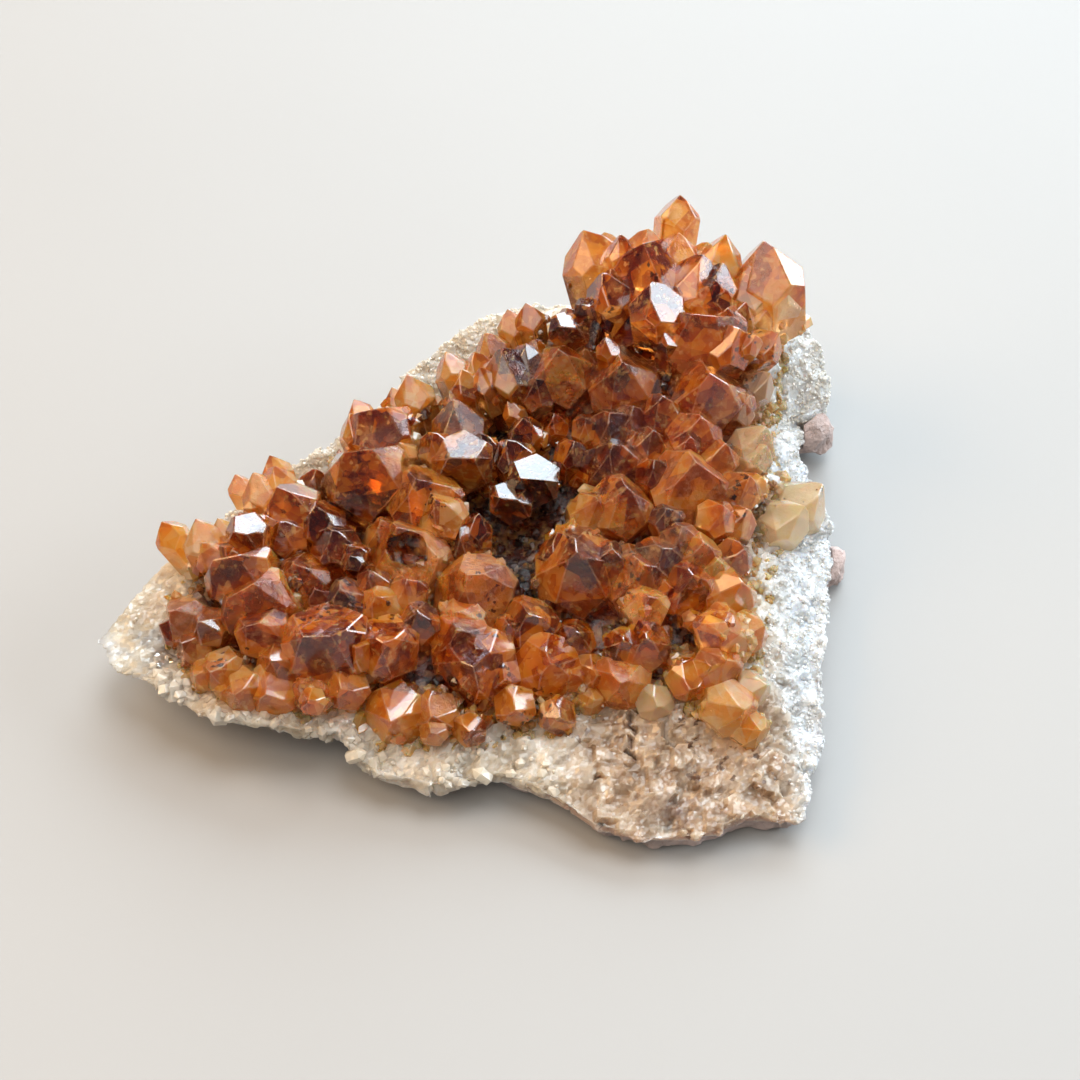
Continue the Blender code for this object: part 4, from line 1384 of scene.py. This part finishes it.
def rock_material(settings):
    """Dull grey-brown rock with pinkish patches."""
    material, bench, shader, where = new_material("host_rock")
    link = material.node_tree.links.new
    broad = use_group(bench, cloud_group(), where, Scale=140.0, Detail=4.0, Low=0.35, High=0.65)
    fine = use_group(bench, cloud_group(), where, Scale=900.0, Detail=6.0, Low=0.3, High=0.7)
    colour = bench.blend(broad, settings.rock_colour, (0.56, 0.42, 0.38))
    colour = bench.blend(bench.maths("MULTIPLY", fine, 0.4), colour, (0.22, 0.19, 0.19))
    link(colour, shader.inputs["Base Color"])
    shader.inputs["Roughness"].default_value = 0.85
    bump = bench.add("ShaderNodeBump", {"Strength": 0.6, "Distance": 0.0005, "Height": fine})
    link(bump.outputs[0], shader.inputs["Normal"])
    return material


class CLUSTER_OT_points(bpy.types.Operator):
    """Grow the large points, the small points and their crust as one clear solid"""

    bl_idname = "cluster.points"
    bl_label = "Crystal points"

    def execute(self, context):
        """Build, join and colour the points."""
        settings = context.scene.cluster_points
        rows = list(POINTS) + fill_points(random.Random(FILL_SEED))
        tint = random.Random(TINT_SEED)
        tones = [tint_of(row, tint) for row in rows]
        rng = random.Random(LARGE_SEED)
        collection = bpy.data.collections.new("growths")
        growths = []
        shapes = []
        twists = []
        for row, tones_here in zip(rows, tones):
            spin = rng.uniform(0.0, 60.0)
            twist, broad = row[7:] if len(row) > 7 else (spin, ())
            bm, axis = crystal_mesh(Vector(row[:3]), *row[3:7], twist, broad, rng)
            shapes.append((bm, axis, row, tones_here, 0.0))
            twists.append(twist)
        small_rng = random.Random(SMALL_SEED)
        for sprout in twin_points(rows, random.Random(TWIN_SEED)):
            small_rng.uniform(0.0, 60.0)
            bm, axis = crystal_mesh(
                Vector(sprout[:3]), *sprout[3:7], twists[sprout[7]], (), small_rng
            )
            shapes.append((bm, axis, sprout, tones[sprout[7]], 0.3))
        for sprout in side_points(rows, random.Random(SPROUT_SEED)):
            twist = small_rng.uniform(0.0, 60.0)
            bm, axis = crystal_mesh(Vector(sprout[:3]), *sprout[3:7], twist, (), small_rng)
            shapes.append((bm, axis, sprout, tones[sprout[7]], 0.3))
        for row in TERRACE_POINTS:
            bm, axis = crystal_mesh(Vector(row[:3]), *row[3:9], small_rng)
            shapes.append((bm, axis, row, (0.6, 0.0, 0.0), 0.0))
        for row in LUMP_POINTS:
            bm, axis = crystal_mesh(Vector(row[:3]), *row[3:7], 20.0, (), small_rng)
            shapes.append((bm, axis, row, (1.0, 0.0, 0.4), -2.0))
        for index, (bm, axis, row, (dark, pale, frosty), late) in enumerate(shapes):
            width = row[3] * SHOULDER_SWELL
            points = np.array([v.co[:] for v in bm.verts])
            growths.append({
                "tip": np.array(row[:3]),
                "axis": np.array(axis),
                "normals": np.array([f.normal[:] for f in bm.faces]),
                "offsets": np.array([f.normal.dot(f.verts[0].co) for f in bm.faces]),
                "middle": 0.5 * (points.min(0) + points.max(0)),
                "size": 0.5 * (points.max(0) - points.min(0)).max() + 0.3,
                "reach": 0.55 * width + 5.0,
                "start": tint.uniform(-0.12, 0.16) + late,
                "tone": dark,
                "pale": pale,
                "frost": frosty,
            })
            worn = worn_edges(bm, settings.edge_round / MM * min(1.0, width / 8.0))
            object_from(f"growth_{index:03d}", worn, collection)
        crystals = object_from(
            "citrine_points",
            sheet_mesh(crust_top, lambda x, y: matrix_top(x, y) - 3.0),
        )
        outline = object_from("crust_outline", prism_mesh(CRUST_EDGE, -5.0, 60.0))
        room = object_from(
            "matrix_room",
            sheet_mesh(lambda x, y: matrix_top(x, y) - 1.6, lambda x, y: -4.0),
        )
        room_outline = object_from("room_outline", prism_mesh(MATRIX_EDGE, -5.0, 60.0, 0.2))
        add_boolean(room, "INTERSECT", operand=room_outline)
        add_boolean(crystals, "INTERSECT", operand=outline)
        add_boolean(crystals, "UNION", collection=collection)
        add_boolean(crystals, "DIFFERENCE", operand=room)
        pit = object_from("pit", pit_mesh())
        add_boolean(crystals, "DIFFERENCE", operand=pit)
        mesh = baked(crystals)
        outer_skin(mesh)
        for helper in [outline, room, room_outline, pit] + list(collection.objects):
            drop(helper)
        bpy.data.collections.remove(collection)
        colour_growths(mesh, growths)
        mesh.materials.clear()
        mesh.materials.append(citrine_material(settings))
        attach(crystals, "root")
        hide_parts("citrine_crystals")
        return {"FINISHED"}


def cell_facets(places, size, seed):
    """Height of a surface broken into randomly tilted facets about `size` across."""
    scaled = places / size
    base = np.floor(scaled).astype(np.int64)
    best = np.full(len(places), 1e9)
    height = np.zeros(len(places))
    for dx in (-1, 0, 1):
        for dy in (-1, 0, 1):
            for dz in (-1, 0, 1):
                cell = base + np.array((dx, dy, dz))
                mixed = cell[:, 0] * 73856093 ^ cell[:, 1] * 19349663 ^ cell[:, 2] * 83492791
                mixed = (mixed ^ seed * 2654435761) & 0x7FFFFFFF
                draws = []
                for _ in range(7):
                    mixed = (mixed * 1103515245 + 12345) & 0x7FFFFFFF
                    draws.append((mixed >> 8) % 4096 / 4096.0)
                centre = cell + 0.1 + 0.8 * np.stack(draws[:3], 1)
                gap = scaled - centre
                distance = (gap ** 2).sum(1)
                tilt = np.stack(draws[3:6], 1) * 2.0 - 1.0
                value = (gap * tilt).sum(1) + 0.5 * (draws[6] - 0.5)
                nearer = distance < best
                best[nearer] = distance[nearer]
                height[nearer] = value[nearer]
    return height


def remeshed_node(name, node, voxel):
    """Even, dense copy of a CAD node's shape."""
    mesh = frame["nodes"][node].data.copy()
    mesh.materials.clear()
    bm = bmesh.new()
    bm.from_mesh(mesh)
    bmesh.ops.remove_doubles(bm, verts=bm.verts[:], dist=0.000002)
    bm.to_mesh(mesh)
    bm.free()
    obj = new_piece(name, mesh)
    remesh = obj.modifiers.new("even", "REMESH")
    remesh.mode = "VOXEL"
    remesh.voxel_size = voxel
    baked(obj)
    return obj


def mesh_arrays(mesh):
    """Vertex places and normals as arrays."""
    places = np.zeros(len(mesh.vertices) * 3)
    mesh.vertices.foreach_get("co", places)
    normals = np.zeros(len(mesh.vertices) * 3)
    mesh.vertex_normals.foreach_get("vector", normals)
    return places.reshape(-1, 3), normals.reshape(-1, 3)


class CLUSTER_OT_matrix(bpy.types.Operator):
    """Break the matrix surface into quartz facets and colour its sides"""

    bl_idname = "cluster.matrix"
    bl_label = "Quartz matrix"

    def execute(self, context):
        """Roughen and colour the white quartz."""
        settings = context.scene.cluster_matrix
        obj = remeshed_node("quartz_body", "quartz_matrix", settings.voxel)
        mesh = obj.data
        places, normals = mesh_arrays(mesh)
        bench = places / MM + np.array(CENTRE)
        x, y, z = bench.T
        lumps = np.array([noise.noise(Vector(p) * 0.12) for p in bench])
        coarse = cell_facets(bench, 4.2, 3)
        middle = cell_facets(bench, 2.2, 5)
        push = lumps * 0.9 + coarse * 1.1 + middle * 0.55 - 0.3
        push *= 1.0 - 0.55 * ease(x, -38.0, -52.0)
        along = ease(y, -37.6, -36.4) * ease(y, -27.2, -28.4)
        sway = 0.5 * np.sin(1.3 * y) + 0.35 * np.sin(3.1 * y + 1.0) + 0.8 * lumps
        crack = along * np.exp(-((x - 15.0 - sway) / 0.45) ** 2)
        push = np.clip(push, -2.2, 0.55) * settings.relief / 0.0009 - 1.6 * crack
        low = ease(z, 5.2, 4.4)
        keep = 1.0 - low * ease(-normals[:, 2], 0.5, 0.9)
        moved = places + normals * (push * keep * MM)[:, None]
        moved[:, 0] -= TIP_REACH * ease(x, -62.0, -72.0)
        lowest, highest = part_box("quartz_matrix")
        moved = np.clip(moved, np.array(lowest) - TIP_MARGIN, np.array(highest) + TIP_MARGIN)
        mesh.vertices.foreach_set("co", moved.ravel())
        mesh.update()
        stain = ease(y, -19.0, -27.0) * ease(x, 0.0, 10.0) * ease(x, 43.0, 38.0)
        stain = np.maximum(stain, 0.55 * ease(x, -44.0, -54.0) * ease(x, -71.0, -62.0))
        cool = ease(x, 38.0, 45.0) * (1.0 - 0.5 * ease(y, 24.0, 34.0))
        blush = ease(z, 6.2, 4.8) * ease(y, -38.0, -45.0) * 0.8
        blush += ease(z, 9.0, 6.0) * ease(x, 44.0, 47.0) * ease(y, -5.0, -14.0) * 0.4
        smudge = np.exp(-(((x - 21.5) / 3.2) ** 2 + ((y + 45.0) / 3.0) ** 2))
        dirt = np.clip(smudge + 1.2 * crack, 0.0, 1.0)
        # under: painted shade, tinted orange, on the matrix beneath the crystal crust, where the
        # crystals above keep light off and colour what comes through.
        under = ease(edge_distances(bench, CRUST_EDGE), 3.0, 7.0)
        blush = np.clip(blush, 0.0, 1.0)
        paint(mesh, "POINT", dirt=dirt, under=under, stain=stain, cool=cool, blush=blush)
        mesh.materials.append(quartz_material(settings))
        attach(obj, "root")
        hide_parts("quartz_matrix")
        return {"FINISHED"}


def grain_mesh(sunk=0.25):
    """One little quartz grain, a unit wide: six sides and a six-sided tip."""
    bm = bmesh.new()
    bmesh.ops.create_cone(
        bm, cap_ends=True, segments=6, radius1=0.42, radius2=0.5, depth=0.8,
        matrix=Matrix.Translation((0.0, 0.0, 0.0)),
    )
    top = [v for v in bm.verts if v.co.z > 0.1]
    cap = [f for f in bm.faces if all(v in top for v in f.verts)]
    peak = bmesh.ops.poke(bm, faces=cap)["verts"][0]
    peak.co = (0.06, -0.04, 0.8)
    for vert in bm.verts:
        vert.co.z -= sunk
    mesh = bpy.data.meshes.new("grain")
    bm.to_mesh(mesh)
    bm.free()
    return mesh


def socket_name(tree, label):
    """Identifier of a node tree's named input."""
    for item in tree.interface.items_tree:
        if item.item_type == "SOCKET" and item.in_out == "INPUT" and item.name == label:
            return item.identifier
    raise KeyError(label)


def grain_tree(material):
    """Geometry Nodes: scatter quartz grains over a surface where it is marked bare."""
    tree = bpy.data.node_groups.new("scatter_grains", "GeometryNodeTree")
    face = tree.interface
    face.new_socket("Geometry", in_out="INPUT", socket_type="NodeSocketGeometry")
    for label, kind in (
        ("Grain", "NodeSocketObject"),
        ("Density", "NodeSocketFloat"),
        ("Smallest", "NodeSocketFloat"),
        ("Largest", "NodeSocketFloat"),
        ("Seed", "NodeSocketInt"),
    ):
        face.new_socket(label, in_out="INPUT", socket_type=kind)
    face.new_socket("Geometry", in_out="OUTPUT", socket_type="NodeSocketGeometry")
    bench = NodeBench(tree)
    given = bench.add("NodeGroupInput").outputs
    bare = bench.add("GeometryNodeInputNamedAttribute", {"Name": "bare"}, data_type="FLOAT")
    density = bench.maths("MULTIPLY", bare.outputs[0], given["Density"])
    points = bench.add(
        "GeometryNodeDistributePointsOnFaces",
        {"Mesh": given["Geometry"], "Density": density, "Seed": given["Seed"]},
    )
    size = bench.add(
        "FunctionNodeRandomValue",
        {2: given["Smallest"], 3: given["Largest"], "Seed": given["Seed"]},
        data_type="FLOAT",
    )
    wobble = bench.add(
        "FunctionNodeRandomValue",
        {0: (-0.95, -0.95, -3.14), 1: (0.95, 0.95, 3.14), "Seed": 4},
        data_type="FLOAT_VECTOR",
    )
    turned = bench.add(
        "FunctionNodeRotateRotation",
        {"Rotation": points.outputs["Rotation"], "Rotate By": wobble.outputs[0]},
        rotation_space="LOCAL",
    )
    stretch = bench.add(
        "FunctionNodeRandomValue",
        {0: (0.6, 0.6, 0.6), 1: (1.2, 1.2, 1.2), "Seed": 9},
        data_type="FLOAT_VECTOR",
    )
    scale = bench.add(
        "ShaderNodeVectorMath", {0: stretch.outputs[0], 3: size.outputs[1]}, operation="SCALE"
    )
    shape = bench.add("GeometryNodeObjectInfo", {"Object": given["Grain"]})
    grains = bench.add(
        "GeometryNodeInstanceOnPoints",
        {
            "Points": points.outputs["Points"],
            "Instance": shape.outputs["Geometry"],
            "Rotation": turned.outputs[0],
            "Scale": scale.outputs[0],
        },
    )
    real = bench.add("GeometryNodeRealizeInstances", {"Geometry": grains.outputs[0]})
    finish = bench.add("GeometryNodeSetMaterial", {"Geometry": real.outputs[0]})
    finish.inputs["Material"].default_value = material
    result = bench.add("NodeGroupOutput")
    tree.links.new(finish.outputs[0], result.inputs[0])
    return tree


def scatter(name, source, shape, material, settings):
    """Run the scatter tree over a copy of a mesh; give the plain piece it leaves."""
    obj = new_piece(name, source)
    grain = new_piece(name + "_shape", shape)
    modifier = obj.modifiers.new("scatter", "NODES")
    modifier.node_group = grain_tree(material)
    for label, value in dict(settings, Grain=grain).items():
        modifier[socket_name(modifier.node_group, label)] = value
    baked(obj)
    drop(grain)
    places = mesh_arrays(obj.data)[0]
    low, high = CAD_BOX
    clipped = np.clip(places, np.array(low), np.array(high))
    obj.data.vertices.foreach_set("co", clipped.ravel())
    obj.data.update()
    return obj, clipped / MM + np.array(CENTRE)


class CLUSTER_OT_grains(bpy.types.Operator):
    """Scatter small sparkling quartz grains over the bare matrix"""

    bl_idname = "cluster.grains"
    bl_label = "Quartz grains"

    def execute(self, context):
        """Scatter the fine grains and, along the front rim, the coarse ones."""
        settings = context.scene.cluster_matrix
        source = bpy.data.objects["quartz_body"].data
        places, normals = mesh_arrays(source)
        bench = places / MM + np.array(CENTRE)
        x, y, _ = bench.T
        inside = edge_distances(bench, CRUST_EDGE)
        outside = edge_distances(bench, MATRIX_EDGE)
        broken = ease(y, -19.0, -27.0) * ease(x, 0.0, 10.0) * ease(x, 43.0, 39.0)
        front = ease(x, 40.0, 30.0) * ease(y, 12.0, 2.0)
        fine = ease(inside, 2.0, -1.0) * ease(normals[:, 2], -0.35, 0.1)
        fine *= (1.0 - 0.97 * broken) * (1.0 - 0.96 * front)
        coarse = ease(inside, 0.5, -1.5) * ease(outside, 7.0, 3.0) * ease(normals[:, 2], -0.2, 0.2)
        coarse *= front * (1.0 - broken) * ease(x, -66.0, -60.0) * ease(x, 6.0, -2.0)
        coarse *= 0.15 + 0.85 * ease(np.sin(x * 0.35) + np.sin(y * 0.23 + 1.0), -0.6, 0.6)
        for name, bare, count, size, sunk, seed in (
            ("quartz_grains", fine, settings.grain_count, settings.grain_size, 0.25, 3),
            ("quartz_chunks", coarse, settings.chunk_count, settings.chunk_size, 0.4, 7),
        ):
            mesh = source.copy()
            mesh.materials.clear()
            paint(mesh, "POINT", bare=bare)
            values = {
                "Density": count / MATRIX_GROUND,
                "Smallest": size * 0.5,
                "Largest": size * 1.45,
                "Seed": seed,
            }
            obj, bench = scatter(name, mesh, grain_mesh(sunk), grain_material(), values)
            warm = ease(bench[:, 0], 42.0, 32.0)
            warm += ease(-np.hypot(bench[:, 0] - 50.0, bench[:, 1] - 44.0), -16.0, -4.0) * 0.6
            paint(obj.data, "POINT", warm=np.clip(warm, 0.0, 1.0))
            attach(obj, "root")
        return {"FINISHED"}


class CLUSTER_OT_druse(bpy.types.Operator):
    """Scatter little citrine points where the large ones leave room at the rim"""

    bl_idname = "cluster.druse"
    bl_label = "Small citrine points"

    def execute(self, context):
        """Scatter and colour the little points."""
        settings = context.scene.cluster_points
        mesh = bpy.data.objects["citrine_points"].data.copy()
        mesh.attributes["druse"].name = "bare"
        material = mesh.materials[0]
        mesh.materials.clear()
        values = {
            "Density": settings.druse_count / CRYSTAL_GROUND,
            "Smallest": settings.druse_size * 0.4,
            "Largest": settings.druse_size * 1.5,
            "Seed": 11,
        }
        obj, bench = scatter("citrine_druse", mesh, grain_mesh(), material, values)
        mesh = obj.data
        wander = np.array([noise.noise(Vector(p) * 0.35) for p in bench])
        inland = ease(edge_distances(bench, CRUST_EDGE), 1.0, 9.0)
        paint(
            mesh, "POINT",
            zone=0.9 - 0.35 * inland + 0.5 * wander,
            tone=np.clip(0.1 + 0.7 * inland, 0.0, 1.0),
            # deep: painted shade, stronger inland among the large points.
            deep=0.7 * inland,
            pale=np.clip(0.9 - 0.75 * inland + wander, 0.0, 1.0),
            frost=np.clip(0.55 + 1.5 * wander, 0.0, 1.0),
        )
        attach(obj, "root")
        return {"FINISHED"}


class CLUSTER_OT_rind(bpy.types.Operator):
    """Roughen the rock rind under the quartz"""

    bl_idname = "cluster.rind"
    bl_label = "Rock rind"

    def execute(self, context):
        """Roughen and colour the rock."""
        settings = context.scene.cluster_matrix
        obj = remeshed_node("rock_skin", "rock_rind", RIND_STEP)
        mesh = obj.data
        places, normals = mesh_arrays(mesh)
        bench = places / MM + np.array(CENTRE)
        lumps = np.array([noise.noise(Vector(p) * 0.3) for p in bench])
        push = lumps * 0.7 + cell_facets(bench, 1.8, 11) * 0.4 - 0.2
        keep = ease(bench[:, 2], 0.4, 1.6)
        moved = places + normals * (push * keep * MM)[:, None]
        low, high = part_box("rock_rind")
        moved = np.clip(moved, np.array(low), np.array(high))
        mesh.vertices.foreach_set("co", moved.ravel())
        mesh.materials.append(rock_material(settings))
        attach(obj, "root")
        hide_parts("rock_rind")
        return {"FINISHED"}


def toward(azimuth, elevation, distance):
    """Place seen from the origin at an azimuth (0 is +Y, 90 is +X) and an elevation."""
    around = math.radians(azimuth)
    rise = math.radians(elevation)
    flat = distance * math.cos(rise)
    return (flat * math.sin(around), flat * math.cos(around), distance * math.sin(rise))


def add_lamp(name, place, target, size, power, colour):
    """Large soft area light."""
    data = bpy.data.lights.new(name, "AREA")
    data.shape = "RECTANGLE"
    data.size, data.size_y = size
    data.energy = power
    data.color = colour
    lamp = bpy.data.objects.new(name, data)
    lamp.location = place
    lamp.rotation_euler = (Vector(target) - Vector(place)).to_track_quat("-Z", "Y").to_euler()
    bpy.context.scene.collection.objects.link(lamp)


class CLUSTER_OT_stage(bpy.types.Operator):
    """Lay the pale floor, hang the soft lights and place the camera"""

    bl_idname = "cluster.stage"
    bl_label = "Stage"

    def execute(self, context):
        """Build floor, lights, world and camera."""
        settings = context.scene.cluster_stage
        scene = context.scene
        bm = bmesh.new()
        bmesh.ops.create_grid(bm, x_segments=2, y_segments=2, size=2.5)
        mesh = bpy.data.meshes.new("floor")
        bm.to_mesh(mesh)
        bm.free()
        floor = new_piece("floor", mesh)
        material, bench, shader, where = new_material("pale_floor")
        tint = use_group(bench, cloud_group(), where, Scale=6.0, Detail=2.0, Low=0.2, High=0.8)
        colour = bench.blend(
            tint, settings.floor_colour, [c * 1.05 for c in settings.floor_colour]
        )
        material.node_tree.links.new(colour, shader.inputs["Base Color"])
        shader.inputs["Roughness"].default_value = 0.6
        mesh.materials.append(material)
        aim = (0.0, 0.0, 0.02)
        window = settings.window_power
        for name, place, size, power, colour in (
            ("window", (14.0, 31.0, 2.2), (1.9, 1.4), window, (0.76, 0.90, 1.0)),
            ("side_window", (79.0, 23.0, 2.2), (1.5, 1.0), 52.0, (0.82, 0.92, 1.0)),
            ("sky", (40.0, 72.0, 2.4), (1.4, 1.4), 46.0, (0.93, 0.97, 1.0)),
            ("room", (-160.0, 62.0, 2.4), (2.2, 1.5), 33.0, (1.0, 0.92, 0.82)),
            ("wall", (-80.0, 40.0, 1.0), (0.7, 0.5), 8.8, (1.0, 0.66, 0.36)),
        ):
            add_lamp(name, toward(*place), aim, size, power, colour)
        world = bpy.data.worlds.new("room_light")
        world.use_nodes = True
        back = world.node_tree.nodes["Background"]
        back.inputs["Color"].default_value = (0.86, 0.9, 1.0, 1.0)
        back.inputs["Strength"].default_value = 0.12
        scene.world = world
        look_at = (Vector((0.0, 0.0, 20.0)) - CENTRE) * MM
        ahead = Vector((0.0, math.cos(settings.camera_rise), -math.sin(settings.camera_rise)))
        data = bpy.data.cameras.new("camera")
        data.sensor_width = 36.0
        data.lens = 18.0 / math.tan(math.radians(16.0))
        data.clip_start = 0.01
        camera = bpy.data.objects.new("camera", data)
        camera.location = look_at - ahead * settings.camera_distance
        camera.rotation_euler = ahead.to_track_quat("-Z", "Y").to_euler()
        scene.collection.objects.link(camera)
        scene.camera = camera
        scene.view_settings.view_transform = "Standard"
        scene.cycles.max_bounces = 14
        scene.cycles.transmission_bounces = 12
        scene.cycles.glossy_bounces = 6
        return {"FINISHED"}


class CLUSTER_PT_panel(bpy.types.Panel):
    """Lists the steps that build the cluster"""

    bl_idname = "CLUSTER_PT_panel"
    bl_label = "Citrine cluster"
    bl_space_type = "VIEW_3D"
    bl_region_type = "UI"
    bl_category = "Citrine"

    def draw(self, context):
        """Draw the steps and their settings."""
        layout = self.layout
        for settings in (
            context.scene.cluster_points,
            context.scene.cluster_matrix,
            context.scene.cluster_stage,
        ):
            box = layout.box()
            for name in settings.__annotations__:
                box.prop(settings, name)
        for step in STEPS:
            layout.operator(step.bl_idname)


STEPS = (
    CLUSTER_OT_matrix,
    CLUSTER_OT_grains,
    CLUSTER_OT_rind,
    CLUSTER_OT_points,
    CLUSTER_OT_druse,
    CLUSTER_OT_stage,
)
GROUPS = (
    ("cluster_points", ClusterPoints),
    ("cluster_matrix", ClusterMatrix),
    ("cluster_stage", ClusterStage),
)


def register():
    """Register the settings, the steps and the panel."""
    for name, group in GROUPS:
        bpy.utils.register_class(group)
        setattr(bpy.types.Scene, name, PointerProperty(type=group))
    for step in STEPS:
        bpy.utils.register_class(step)
    bpy.utils.register_class(CLUSTER_PT_panel)


def unregister():
    """Take everything off again."""
    bpy.utils.unregister_class(CLUSTER_PT_panel)
    for step in reversed(STEPS):
        bpy.utils.unregister_class(step)
    for name, group in reversed(GROUPS):
        delattr(bpy.types.Scene, name)
        bpy.utils.unregister_class(group)


def main():
    """Build every piece in order."""
    register()
    bpy.ops.cluster.matrix()
    bpy.ops.cluster.grains()
    bpy.ops.cluster.rind()
    bpy.ops.cluster.points()
    bpy.ops.cluster.druse()
    bpy.ops.cluster.stage()


if __name__ == "__main__":
    main()
